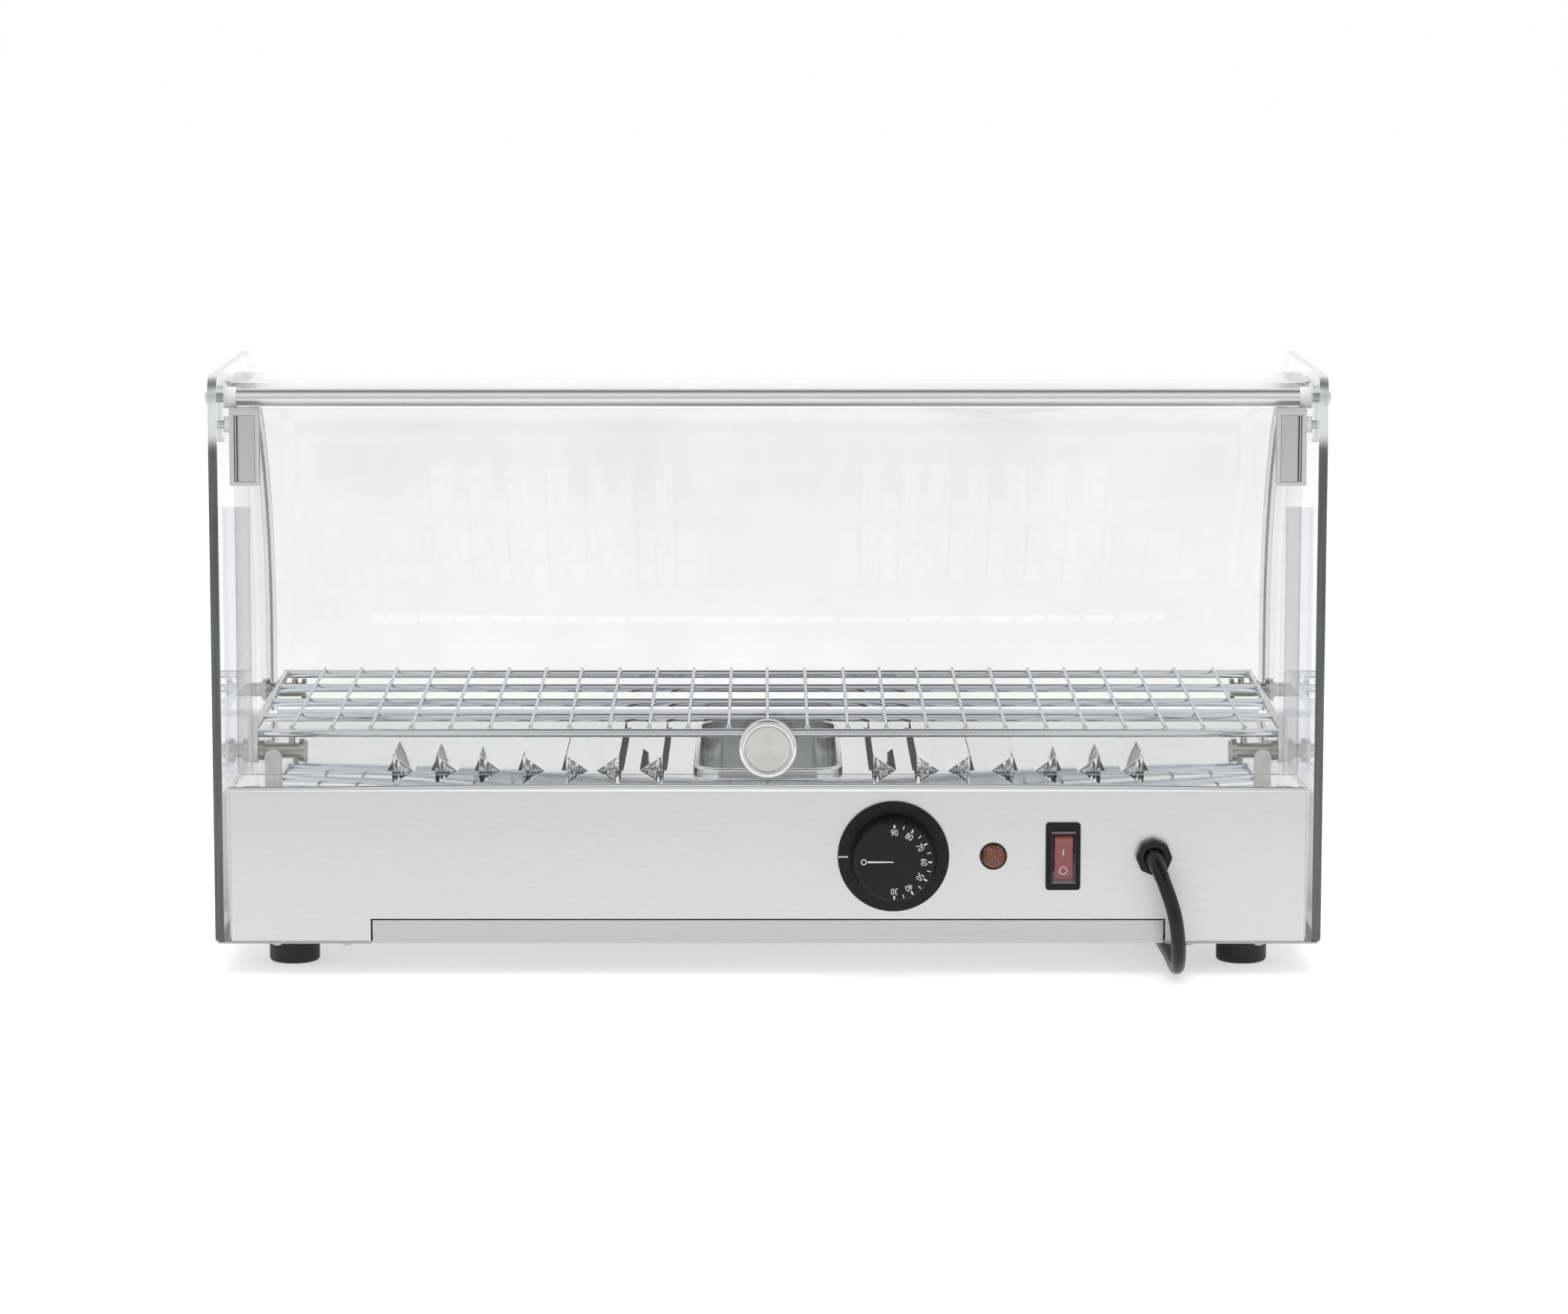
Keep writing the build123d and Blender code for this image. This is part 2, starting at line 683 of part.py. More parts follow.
def hinge_clamp():
    """Cast channel that grips the edge of the door glass, with its hinge pin."""
    x1 = door_half + clamp_web
    x0 = door_half - clamp_grip
    clamp = across(clamp_outline(), x0, x1)
    clamp -= block((x0 - 1, door_half), (door_y, door_y + door_t), (0, hinge_z + 40))
    face_y = door_y - clamp_wall
    z0, z1 = hinge_z - clamp_drop + clamp_rim, hinge_z + clamp_head_r() - 2 * clamp_rim
    clamp -= block((x0 + clamp_rim, x1 - clamp_web), (face_y - 1, face_y + clamp_recess), (z0, z1))
    clamp -= rod_y(x0 + clamp_grip / 2, door_y + door_t - 1, door_y + door_t + clamp_wall + 1,
                   hinge_z - clamp_drop / 2, clamp_screw_r)
    pin = rod_x(x1 - 1, inner_x - running_gap, hinge_y, hinge_z, hinge_pin_r)
    return clamp + pin


def clamp_screw():
    """Set screw that presses the glass into the clamp."""
    x = door_half - clamp_grip / 2
    y = door_y + door_t
    return rod_y(x, y, y + clamp_wall - 0.2, hinge_z - clamp_drop / 2, clamp_screw_r - pin_clearance)


def hinge_washer():
    x0, x1 = door_half + clamp_web, plate_in_x() - running_gap
    washer = rod_x(x0, x1, hinge_y, hinge_z, washer_r)
    return washer - rod_x(x0 - 1, x1 + 1, hinge_y, hinge_z, hinge_pin_r + pin_clearance)


def door_glass():
    z0, z1 = deck_z + door_bottom, door_top_z
    face = Pos(0, (z0 + z1) / 2) * RectangleRounded(2 * door_half, z1 - z0, 3)
    pane = extrude(Plane.XZ.offset(-door_y - door_t) * face, amount=door_t)
    return pane - rod_y(0, door_y - 1, door_y + door_t + 1, knob_z, door_hole_r)


def door_seal():
    """Clear profile pushed on the door's edge, with a lip towards the side glass."""
    z0 = deck_z + door_bottom + 0.6
    x1 = door_half + seal_t
    x0 = door_half - seal_grip
    y0, y1 = door_y - seal_t, door_y + door_t + seal_t
    channel = block((x0, x1), (y0, y1), (z0, z0 + seal_l))
    channel -= block((x0 - 1, door_half), (door_y, door_y + door_t), (z0 - 1, z0 + seal_l + 1))
    lip = Polyline((door_half, y0), (inner_x - 1.2, y1 + 1.5), (inner_x - 0.5, y1 + 1.0),
                   (x1, y0), close=True)
    return channel + extrude(Plane.XY.offset(z0) * make_face(lip), amount=seal_l)


def door_knob():
    """Turned knob on a stem, with a raised rim round a dished face."""
    top = knob_stem_l + knob_h
    dish_rim = knob_radius - knob_rim_w
    dish_r = (dish_rim ** 2 + knob_dish ** 2) / (2 * knob_dish)
    knob = Pos(0, 0, top - knob_h / 2) * Cylinder(knob_radius, knob_h)
    knob = chamfer(knob.edges().group_by(Axis.Z)[0], 2.0)
    knob = fillet(knob.edges().group_by(Axis.Z)[-1], 0.8)
    knob -= Pos(0, 0, top - knob_dish + dish_r) * Sphere(dish_r)
    knob += Pos(0, 0, knob_stem_l / 2) * Cylinder(knob_stem_r, knob_stem_l)
    knob -= Pos(0, 0, 4) * Cylinder(knob_screw_r, 12)
    return Pos(0, door_y, knob_z) * Rot(90, 0, 0) * knob


def knob_screw():
    y = door_y + door_t
    shank = rod_y(0, y, door_y - 9, knob_z, knob_screw_r - pin_clearance)
    return shank + dome(0, y, knob_z, 5.0, 2.6, Rot(-90, 0, 0))


def door_stop():
    """Soft post on the deck that the closed door rests against."""
    y = rear_y + stop_depth
    post = rod_z(stop_x, y, deck_z, deck_z + stop_h - stop_radius, stop_radius)
    post += Pos(stop_x, y, deck_z + stop_h - stop_radius) * Sphere(stop_radius)
    return post + rod_z(stop_x, y, deck_z - sheet - 2, deck_z + 1, stop_stud_r)


# Rack and its pins

def rack_rise(y):
    """Height of the long rods' axes: the rack leans down towards the operator."""
    share = (y - near_y) / rack_span
    return deck_z + rack_near_rise + share * (rack_far_rise - rack_near_rise)


def sloping_rod(x, y0, y1, lift, radius):
    """A rod in depth that follows the lean of the rack."""
    z0, z1 = rack_rise(y0) + lift, rack_rise(y1) + lift
    length = math.hypot(y1 - y0, z1 - z0)
    lean = math.degrees(math.atan2(z1 - z0, y1 - y0))
    return Pos(x, (y0 + y1) / 2, (z0 + z1) / 2) * Rot(lean, 0, 0) * Rot(90, 0, 0) * Cylinder(radius, length)


def wire_rack():
    """Welded rack: long rods, cross wires on top and a closing rod at each end."""
    half = rack_w / 2
    rack = None
    for i in range(rack_rods):
        y = near_y + i * rack_span / (rack_rods - 1)
        rod = rod_x(-half + rack_rod_r, half - rack_rod_r, y, rack_rise(y), rack_rod_r)
        rack = rod if rack is None else rack + rod
    for side in (-1, 1):
        rack += sloping_rod(side * (half - rack_rod_r), near_y - rack_rod_r, far_y + rack_rod_r, 0,
                            rack_rod_r)
    lift = rack_rod_r + wire_r - wire_bite
    for i in range(wire_count):
        x = (i - (wire_count - 1) / 2) * wire_pitch
        rack += sloping_rod(x, near_y - 0.5, far_y + 0.5, lift, wire_r)
    return rack


def rack_pin(y, rise, length, stud_place, top_rise):
    """Turned pin bonded to the side glass, with a small stud under the rack's rod."""
    z = deck_z + rise
    pin = rod_x(inner_x - length, inner_x, y, z, pin_radius)
    disc_x = inner_x - pin_disc_off
    pin += rod_x(inner_x - 2.5, inner_x, y, z, pin_disc_r)
    pin += rod_x(inner_x - length, inner_x - length + pin_end_t, y, z, pin_end_r)
    if length > pin_disc_off + pin_disc_t + 20:
        pin += rod_x(disc_x, disc_x + pin_disc_t, y, z, pin_disc_r)
        ring_x = disc_x - clip_w - 1.0
        pin += rod_x(ring_x - 3.0, ring_x, y, z, pin_radius + 1.4)
    stud_x = inner_x - stud_place
    top = deck_z + top_rise - rack_rod_r - running_gap
    return pin + rod_z(stud_x, y, z, top, stud_radius)


def near_pin():
    return rack_pin(near_y, pin_near_rise, pin_near_l, stud_off, rack_near_rise)


def far_pin():
    return rack_pin(far_y, pin_far_rise, pin_far_l, far_stud_off, rack_far_rise)


def clip_ring_r():
    return rack_near_rise - rack_rod_r - pin_near_rise - running_gap


def rack_clip():
    """Nylon clip: a ring on the pin and a tongue that stands before the rack's rod."""
    z = deck_z + pin_near_rise
    x1 = inner_x - pin_disc_off - 0.5
    x0 = x1 - clip_w
    tongue_y1 = near_y - rack_rod_r - running_gap
    tongue_y0 = tongue_y1 - clip_t
    top = deck_z + clip_top
    ring = rod_x(x0, x1, near_y, z, clip_ring_r())
    tongue = block((x0, x1), (tongue_y0, tongue_y1), (z, top - clip_head_w / 2))
    head_x = x0 + clip_w / 2 - 1
    head = rod_y(head_x, tongue_y0, tongue_y1, top - clip_head_w / 2, clip_head_w / 2)
    clip = ring + tongue + head
    return clip - rod_x(x0 - 1, x1 + 1, near_y, z, pin_radius + pin_clearance)


# Controls

def bezel():
    """Thermostat surround: a raised ring with a sunk floor round the dial."""
    recess_r = dial_radius + bezel_gap
    y = panel_y
    ring = rod_y(dial_x, y - bezel_h, y, control_z, bezel_radius)
    ring = fillet(ring.edges().sort_by(Axis.Y)[0], 1.0)
    ring -= rod_y(dial_x, y - bezel_h - 1, y - bezel_floor, control_z, recess_r)
    for x, z in bezel_screw_places():
        ring -= rod_y(x, y - bezel_h - 1, y + 1, z, bezel_screw_r)
    return ring - rod_y(dial_x, y - bezel_h - 1, y + 1, control_z, shaft_radius + 1.5)


def bezel_screw_places():
    return [(dial_x - bezel_screw_off, control_z), (dial_x + bezel_screw_off, control_z)]


def thermostat_body():
    """Capillary thermostat behind the panel, with its front bush."""
    y0 = panel_in_y
    body = block((dial_x - thermostat_w / 2, dial_x + thermostat_w / 2), (y0, y0 + thermostat_l),
                 (control_z - thermostat_h / 2, control_z + thermostat_h / 2))
    body = fillet(body.edges().filter_by(Axis.Y), 3)
    body += rod_y(dial_x, panel_y - bezel_floor - 0.2, y0 + 1, control_z, shaft_radius + 1.2)
    y1 = y0 + thermostat_l
    for x in (dial_x - tab_x, dial_x + tab_x):
        body += block((x - tab_w / 2, x + tab_w / 2), (y1, y1 + tab_l),
                      (control_z + tab_rise, control_z + tab_rise + tab_t))
    return body - rod_y(dial_x, panel_y - 5, y0 + shaft_depth, control_z, shaft_radius + pin_clearance)


def thermostat_shaft():
    return rod_y(dial_x, panel_y - bezel_floor - shaft_reach, panel_in_y + shaft_depth - 1, control_z,
                 shaft_radius)


def thermostat_dial():
    """Moulded dial: low skirt and a fluted grip."""
    y0 = panel_y - bezel_floor - 0.5
    y1 = panel_y - bezel_h - dial_h
    skirt = rod_y(dial_x, y0 - dial_skirt_h, y0, control_z, dial_radius)
    grip = rod_y(dial_x, y1, y0, control_z, dial_radius - 0.8)
    grip = chamfer(grip.edges().sort_by(Axis.Y)[0], 1.5)
    for i in range(dial_flutes):
        turn = 2 * math.pi * i / dial_flutes
        reach = dial_radius - 0.3
        grip -= rod_y(dial_x + reach * math.cos(turn), y1 - 1, y0 - dial_skirt_h,
                      control_z + reach * math.sin(turn), flute_r)
    dial = grip + skirt
    bore_y = panel_y - bezel_floor - shaft_reach
    return dial - rod_y(dial_x, bore_y, y0 + 1, control_z, shaft_radius + pin_clearance)


def bezel_screws():
    screws = []
    for x, z in bezel_screw_places():
        screws.append(rod_y(x, panel_y - bezel_floor, panel_y, z, bezel_screw_r - pin_clearance))
    return screws


def lamp_body():
    y = panel_y
    body = rod_y(lamp_x, y - lamp_flange_h, y, control_z, lamp_radius)
    body = fillet(body.edges().sort_by(Axis.Y)[0], 0.5)
    body += rod_y(lamp_x, y, y + lamp_l, control_z, lamp_barrel_r)
    nut = rod_y(lamp_x, panel_in_y, panel_in_y + 3, control_z, lamp_barrel_r + 2.5)
    body += nut
    return body - rod_y(lamp_x, y - lamp_flange_h - 1, y - lamp_flange_h + lens_seat + 1.2, control_z,
                        lamp_barrel_r - 1)


def lamp_lens():
    y = panel_y - lamp_flange_h
    lens = dome(lamp_x, y, control_z, lens_radius, lens_h, Rot(90, 0, 0))
    return lens + rod_y(lamp_x, y, y + lens_seat, control_z, lamp_barrel_r - 1 - pin_clearance)


def switch_body_half():
    return switch_w / 2 - 2.0, switch_h / 2 - 3.0


def rocker_axis_y():
    return panel_y + 0.8


def switch_frame():
    """Black frame and body of the rocker switch, open at the front for the cover."""
    half_w, half_h = switch_body_half()
    y1 = panel_y + switch_l
    frame = block((switch_x - switch_w / 2, switch_x + switch_w / 2), (panel_y - switch_frame_h, panel_y),
                  (control_z - switch_h / 2, control_z + switch_h / 2))
    frame = fillet(frame.edges().filter_by(Axis.Y), 2.0)
    frame = fillet(frame.faces().sort_by(Axis.Y)[0].edges(), 0.8)
    body = block((switch_x - half_w, switch_x + half_w), (panel_y, y1),
                 (control_z - half_h, control_z + half_h))
    well = block((switch_x - cover_w / 2 - 0.05, switch_x + cover_w / 2 + 0.05),
                 (panel_y - switch_frame_h - 1, panel_y + 16),
                 (control_z - cover_h / 2 - 0.05, control_z + cover_h / 2 + 0.05))
    switch = frame + body - well
    for z in (control_z - leg_rise, control_z + leg_rise):
        switch += block((switch_x - leg_w / 2, switch_x + leg_w / 2), (y1, y1 + leg_l),
                        (z - leg_t / 2, z + leg_t / 2))
    half = cover_w / 2 + 0.5
    return switch + rod_x(switch_x - half, switch_x + half, rocker_axis_y(), control_z, rocker_pivot_r)


def switch_cover():
    """Clear splash cap over the rocker, with a chamfered top."""
    y1 = panel_y - switch_frame_h - cover_reach
    y0 = panel_y - 0.9
    outer = block((switch_x - cover_w / 2, switch_x + cover_w / 2), (y1, y0),
                  (control_z - cover_h / 2, control_z + cover_h / 2))
    outer = chamfer(outer.faces().sort_by(Axis.Y)[0].edges(), 1.6)
    inner = block((switch_x - cover_w / 2 + cover_t, switch_x + cover_w / 2 - cover_t), (y1 + cover_t, y0 + 1),
                  (control_z - cover_h / 2 + cover_t, control_z + cover_h / 2 - cover_t))
    inner = chamfer(inner.faces().sort_by(Axis.Y)[0].edges(), 1.6)
    return outer - inner


def switch_rocker():
    """Rocker: two flat faces that meet in a shallow valley, and ends that follow its axis."""
    y = rocker_axis_y()
    face_y = panel_y - switch_frame_h - 1.0
    disc = Circle(rocker_r)
    rise = rocker_r * math.tan(math.radians(rocker_tilt))
    depth = y - face_y
    keep = Polyline((-depth, 0), (-depth - rise, rocker_r + 1), (4, rocker_r + 1), (4, -rocker_r - 1),
                    (-depth - rise, -rocker_r - 1), close=True)
    section = disc & make_face(keep)
    rocker = across(section, -rocker_w / 2, rocker_w / 2)
    rocker -= rod_x(-rocker_w, rocker_w, 0, 0, rocker_pivot_r + pin_clearance)
    return Pos(switch_x, y, control_z) * Rot(rocker_tilt, 0, 0) * rocker


def cord_gland():
    """Moulded bush that leads the cord through the rear panel, with its nut inside."""
    y = panel_y
    flange = Pos(gland_x, control_z) * RegularPolygon(gland_across / 2, 8, major_radius=False)
    head = extrude(Plane.XZ.offset(-y) * flange, amount=gland_reach)
    head = fillet(head.edges().filter_by(Axis.Y), 3.0)
    gland = head + rod_y(gland_x, y, y + gland_l, control_z, gland_barrel_r)
    gland -= rod_y(gland_x, y - gland_reach - 1, y + gland_l + 1, control_z, cord_radius + pin_clearance)
    mouth = Pos(gland_x, y - gland_reach, control_z) * Rot(90, 0, 0) * Cone(
        cord_radius, gland_mouth_r, 8, align=(Align.CENTER, Align.CENTER, Align.MAX))
    return gland - mouth


def gland_nut():
    y = panel_in_y
    face = Pos(gland_x, control_z) * RegularPolygon(gland_nut_r, 6)
    nut = extrude(Plane.XZ.offset(-y - gland_nut_h) * face, amount=gland_nut_h)
    return nut - rod_y(gland_x, y - 1, y + gland_nut_h + 1, control_z, gland_barrel_r + pin_clearance)


# Heater and wiring

def tube_path(points, radii, radius):
    """A round tube along straight runs joined by arcs, one radius for each corner."""
    path = FilletPolyline(*points, radius=radii)
    start = Vector(*points[0])
    heading = Vector(*points[1]) - start
    return sweep(Plane(start, z_dir=heading) * Circle(radius), path=path)


def heater():
    """Sheathed element: one long hairpin under both banks of louvers."""
    y0, y1 = rear_y + heater_near, rear_y + heater_far
    bend = (y1 - y0) / 2 - 0.5
    end_x = heater_half
    points = [(end_x, y0, heater_z), (-heater_half, y0, heater_z), (-heater_half, y1, heater_z),
              (end_x, y1, heater_z)]
    tube = tube_path(points, [bend, bend], heater_radius)
    for y in (y0, y1):
        tube += rod_x(end_x - 1, end_x + cold_pin_l, y, heater_z, cold_pin_r)
    return tube


def heater_bracket(x):
    """Strap from the control panel to the front wall that carries the element."""
    z1 = heater_z - heater_radius
    y0, y1 = panel_in_y, deck_front_y - 2 * sheet
    half = bracket_w / 2
    strap = block((x - half, x + half), (y0, y1), (z1 - bracket_t, z1))
    ears = [block((x - half, x + half), (y, y + bracket_t), (z1 - bracket_ear, z1))
            for y in (y0, y1 - bracket_t)]
    return strap + ears[0] + ears[1]


def capillary_bulb():
    """Sensing bulb on a heater strap, with its thin tube from the thermostat."""
    y = rear_y + (heater_near + heater_far) / 2
    z = heater_z - heater_radius + bulb_radius
    x = bracket_x - bracket_w
    exit_x, exit_z = dial_x + 6, control_z - 2
    points = [(exit_x, panel_in_y + thermostat_l, exit_z), (exit_x, y - capillary_run, exit_z),
              (exit_x + capillary_lead, y, z), (x, y, z)]
    return tube_path(points, capillary_bends, capillary_r) + rod_x(x, x + bulb_l, y, z, bulb_radius)


def block_place():
    return heater_half - block_inset, panel_in_y + block_depth


def terminal_block():
    """Three-way terminal block on the bottom plate."""
    x, y = block_place()
    body = block((x - block_w / 2, x + block_w / 2), (y, y + block_l), (floor_z, floor_z + block_h))
    for i in (-1, 0, 1):
        body -= rod_z(x + i * block_pitch, y + block_l / 2, floor_z + block_h - block_well,
                      floor_z + block_h + 1, 2.4)
    return body


def inner_leads():
    """Insulated leads between the terminal block, switch, thermostat and element."""
    legs_y = panel_y + switch_l + leg_l
    tabs_y = panel_in_y + thermostat_l + tab_l
    tab_z = control_z + tab_rise + tab_t / 2
    block_x, block_y = block_place()
    row_y, top_z = block_y + block_l / 2, floor_z + block_h - block_well
    near, far = rear_y + heater_near, rear_y + heater_far
    pin_x = heater_half + cold_pin_l
    side_x = pin_x + 13
    mains_y = panel_y + gland_l + 2
    runs = [
        [(switch_x, legs_y, control_z + leg_rise), (switch_x, legs_y + 24, control_z + leg_rise),
         (dial_x + tab_x, tabs_y + 22, tab_z), (dial_x + tab_x, tabs_y, tab_z)],
        [(dial_x - tab_x, tabs_y, tab_z), (dial_x - tab_x, tabs_y + 12, tab_z),
         (dial_x - tab_x, tabs_y + 12, tab_z - 12),
         (side_x, tabs_y + 12, tab_z - 12), (side_x, near, heater_z), (pin_x, near, heater_z)],
        [(switch_x, legs_y, control_z - leg_rise), (switch_x, legs_y + 11, control_z - leg_rise),
         (block_x - block_pitch, legs_y + 11, control_z - 20),
         (block_x - block_pitch, row_y, control_z - 22), (block_x - block_pitch, row_y, top_z)],
        [(pin_x, far, heater_z), (side_x, far, heater_z), (side_x, row_y, heater_z - 14),
         (block_x + block_pitch, row_y, heater_z - 14), (block_x + block_pitch, row_y, top_z)],
        [(gland_x, mains_y, control_z), (gland_x, mains_y + 12, control_z),
         (block_x, mains_y + 24, control_z - 12), (block_x, row_y, control_z - 14),
         (block_x, row_y, top_z)],
    ]
    return [tube_path(run, [5] * (len(run) - 2), wire_lead_r) for run in runs]


# Mains lead

def cord_route():
    """Centre line of the lead from inside the gland to the coil behind the case."""
    x, y, floor = gland_x, panel_y, cord_radius
    return [(x, y + gland_l, control_z), (x, y - 14, control_z),
            (x + 3.5, y - 29, control_z - 9), (x + 9.5, y - 38, control_z - 26),
            (x + 11.8, y - 36, control_z - 44), (x + 12.6, y - 24, control_z - 58),
            (x + 13, y - 2, floor + 0.5), (x + 13.4, y + 36, floor), (x + 11, y + 100, floor),
            (x + 3, y + 180, floor), (x - 10, y + 262, floor), (x - 44, y + 324, floor),
            (x - 96, y + 364, floor)]


def route_radii(points):
    """The largest arc at each corner that its two runs allow."""
    radii = []
    for before, here, after in zip(points, points[1:], points[2:]):
        a = Vector(*here) - Vector(*before)
        b = Vector(*after) - Vector(*here)
        half_turn = math.radians(a.get_angle(b)) / 2
        radii.append(0.45 * min(a.length, b.length) / math.tan(half_turn))
    return radii


def coil_centre():
    """Middle of the coil, square to the lead's last run and on its right."""
    before, last = cord_route()[-2:]
    run = Vector(last[0] - before[0], last[1] - before[1], 0).normalized()
    reach = coil_outer_r() - cord_radius
    return last[0] + reach * run.Y, last[1] - reach * run.X


def coil_outer_r():
    return coil_mean_d / 2 + coil_columns * cord_radius


def tail_route():
    """Centre line from the top of the coil to the plug's neck."""
    x, y = coil_centre()
    turn = math.radians(80)
    reach = coil_mean_d / 2 + cord_radius
    x0, y0 = x + reach * math.cos(turn), y + reach * math.sin(turn)
    z0 = (2 * coil_layers - 1) * cord_radius
    return [(x0, y0, z0), (x0 + 20, y0 - 3, z0 - 1), (x0 + 38, y0 - 9, z0 + 1),
            (x0 + 53, y0 - 16, plug_radius), (x0 + 66, y0 - 22, plug_radius)]


def cord_tube(route):
    """Lead along its runs, each corner with its largest arc; the radii are printed."""
    radii = route_radii(route)
    print("arc radii of the lead", [round(r) for r in radii])
    tube = tube_path(route, radii, cord_radius)
    print("length of the lead", round(tube.volume / (math.pi * cord_radius ** 2)))
    return tube


def cord_coil():
    """Outer shape of the wound turns."""
    x, y = coil_centre()
    outer = coil_outer_r()
    inner = coil_mean_d / 2 - coil_columns * cord_radius
    height = 2 * coil_layers * cord_radius
    ring = rod_z(x, y, 0, height, outer) - rod_z(x, y, -1, height + 1, inner)
    return fillet(ring.edges(), cord_radius - 0.5)


def plug_frame():
    """Plane at the plug's neck end, with its normal along the plug's axis."""
    before, end = tail_route()[-2:]
    heading = Vector(end[0] - before[0], end[1] - before[1], 0)
    return Plane(origin=end, x_dir=heading.cross(Vector(0, 0, 1)), z_dir=heading)


def plug_body():
    """Moulded two-pin plug: ribbed neck, shoulder and round face, lying on its side."""
    start = plug_neck_l
    end = start + plug_l
    outline = make_face(
        Polyline((0, 0), (cord_radius + 1.2, 0), (plug_neck_r, start - 4))
        + ThreePointArc((plug_neck_r, start - 4), (plug_neck_r + 2.5, start + 5),
                        (plug_radius - 2.5, start + 11))
        + Polyline((plug_radius - 2.5, start + 11), (plug_radius, start + 14), (plug_radius, end - 1),
                   (plug_radius - 1, end), (0, end), (0, 0)))
    body = revolve(Plane.XZ * outline, axis=Axis.Z)
    for side in (-1, 1):
        socket = Cylinder(plug_pin_r, 2 * plug_pin_seat)
        body -= Pos(side * plug_pin_gap / 2, 0, end) * socket
    flat = Pos(0, plug_radius + 12, end - 8) * Box(7, 30, 30)
    return plug_frame() * (body - flat)


def plug_pins():
    """The two round pins, seated in the plug's face."""
    end = plug_neck_l + plug_l
    pins = []
    for side in (-1, 1):
        length = plug_pin_seat + plug_pin_l
        pin = Pos(side * plug_pin_gap / 2, 0, end + plug_pin_l - length / 2) * Cylinder(plug_pin_r, length)
        pins.append(plug_frame() * fillet(pin.edges().sort_by(Axis.Z)[-1], 1.2))
    return pins


def mirrored(piece):
    return [piece, twin(piece)]


glass_right = side_glass()
clamp_right = hinge_clamp()
seal_right = door_seal()
bonds = base_bond()

save("side_glass_right", glass_right)
save("side_glass_left", twin(glass_right))
save("front_glass", front_glass())
save("pane_beads", *mirrored(pane_bead()))
save("sill_strip", sill_strip())
save("side_bonds", *bonds, *[twin(strip) for strip in bonds])
save("deck_plate", deck_plate())
save("base_housing", base_housing())
save("bottom_plate", bottom_plate())
save("bottom_screws", *bottom_screws())
save("rubber_feet", *[rubber_foot(x, y) for x, y in feet_places()])
save("foot_screws", *[piece for x, y in feet_places() for piece in foot_screw(x, y)])
save("water_pan", water_pan())
save("crumb_drawer", crumb_drawer())
save("drawer_runners", *mirrored(drawer_runner()))
save("tie_tube", tie_tube())
save("tube_collars", *mirrored(tube_collar()))
save("tie_screws", *mirrored(tie_screw()))
save("hinge_plates", *mirrored(hinge_plate()))
save("hinge_clamp_right", clamp_right)
save("hinge_clamp_left", twin(clamp_right))
save("clamp_screws", *mirrored(clamp_screw()))
save("hinge_washers", *mirrored(hinge_washer()))
save("door_glass", door_glass())
save("door_seal_right", seal_right)
save("door_seal_left", twin(seal_right))
save("door_knob", door_knob())
save("knob_screw", knob_screw())
save("door_stops", *mirrored(door_stop()))
save("wire_rack", wire_rack())
save("rack_pins_near", *mirrored(near_pin()))
save("rack_pins_far", *mirrored(far_pin()))
save("rack_clips", *mirrored(rack_clip()))
save("thermostat_bezel", bezel())
save("bezel_screws", *bezel_screws())
save("thermostat_body", thermostat_body())
save("thermostat_shaft", thermostat_shaft())
save("thermostat_dial", thermostat_dial())
save("capillary_bulb", capillary_bulb())
save("lamp_body", lamp_body())
save("lamp_lens", lamp_lens())
save("switch_frame", switch_frame())
save("switch_cover", switch_cover())
save("switch_rocker", switch_rocker())
save("cord_gland", cord_gland())
save("gland_nut", gland_nut())
save("heater_element", heater())
save("heater_brackets", *[heater_bracket(x) for x in (-bracket_x, bracket_x)])
save("terminal_block", terminal_block())
save("inner_leads", *inner_leads())
save("cord_lead", cord_tube(cord_route()))
save("cord_coil", cord_coil())
save("cord_tail", cord_tube(tail_route()))
save("plug_body", plug_body())
save("plug_pins", *plug_pins())
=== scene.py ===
# %% [markdown]
# # A heated display case with a curved glass front
#
# The real object is a countertop warmer seen from the operator's side: a shallow box of brushed
# stainless steel, a mirror-polished deck with louvers and a water pan, a chrome wire rack, and
# a glass box with a door that flips up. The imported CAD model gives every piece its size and
# place. This file gives the pieces their finishes, and replaces the ones whose fine form only
# shows in a picture. Lengths are in metres and +Z is up.

import math

import bpy
import numpy as np
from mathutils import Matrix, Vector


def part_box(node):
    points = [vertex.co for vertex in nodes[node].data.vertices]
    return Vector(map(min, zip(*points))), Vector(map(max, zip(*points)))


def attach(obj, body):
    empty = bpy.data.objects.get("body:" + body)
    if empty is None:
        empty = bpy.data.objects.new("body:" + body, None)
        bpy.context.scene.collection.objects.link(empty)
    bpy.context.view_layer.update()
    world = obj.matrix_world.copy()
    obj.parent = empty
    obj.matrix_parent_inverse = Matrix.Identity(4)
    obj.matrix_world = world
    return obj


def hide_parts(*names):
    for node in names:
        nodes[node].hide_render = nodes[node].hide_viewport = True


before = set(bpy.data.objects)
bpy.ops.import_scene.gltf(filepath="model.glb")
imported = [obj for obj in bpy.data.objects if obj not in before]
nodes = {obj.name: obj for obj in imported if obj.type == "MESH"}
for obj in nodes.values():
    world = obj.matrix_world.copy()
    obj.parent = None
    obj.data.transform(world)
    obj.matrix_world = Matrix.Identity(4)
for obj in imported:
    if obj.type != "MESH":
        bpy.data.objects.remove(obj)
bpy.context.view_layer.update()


def into_scene(name, data):
    """An object that holds this data, linked to the scene."""
    made = bpy.data.objects.new(name, data)
    bpy.context.scene.collection.objects.link(made)
    return made


# %% [markdown]
# ## The camera
#
# The photograph was taken from behind the case, a little above it and from far away, so the
# lines that run away from us shorten only slightly. A long lens about 2.9 metres off gives the
# same view. The case stands a little left of the middle of the picture, which is a small shift.

# %% Camera
PICTURE_WIDTH, FOCAL_PIXELS, SHIFT_PIXELS = 2100, 6626.0, 21.5
CAMERA_BACK, CAMERA_UP, CAMERA_TILT = 2.8743, 0.5531, 7.772

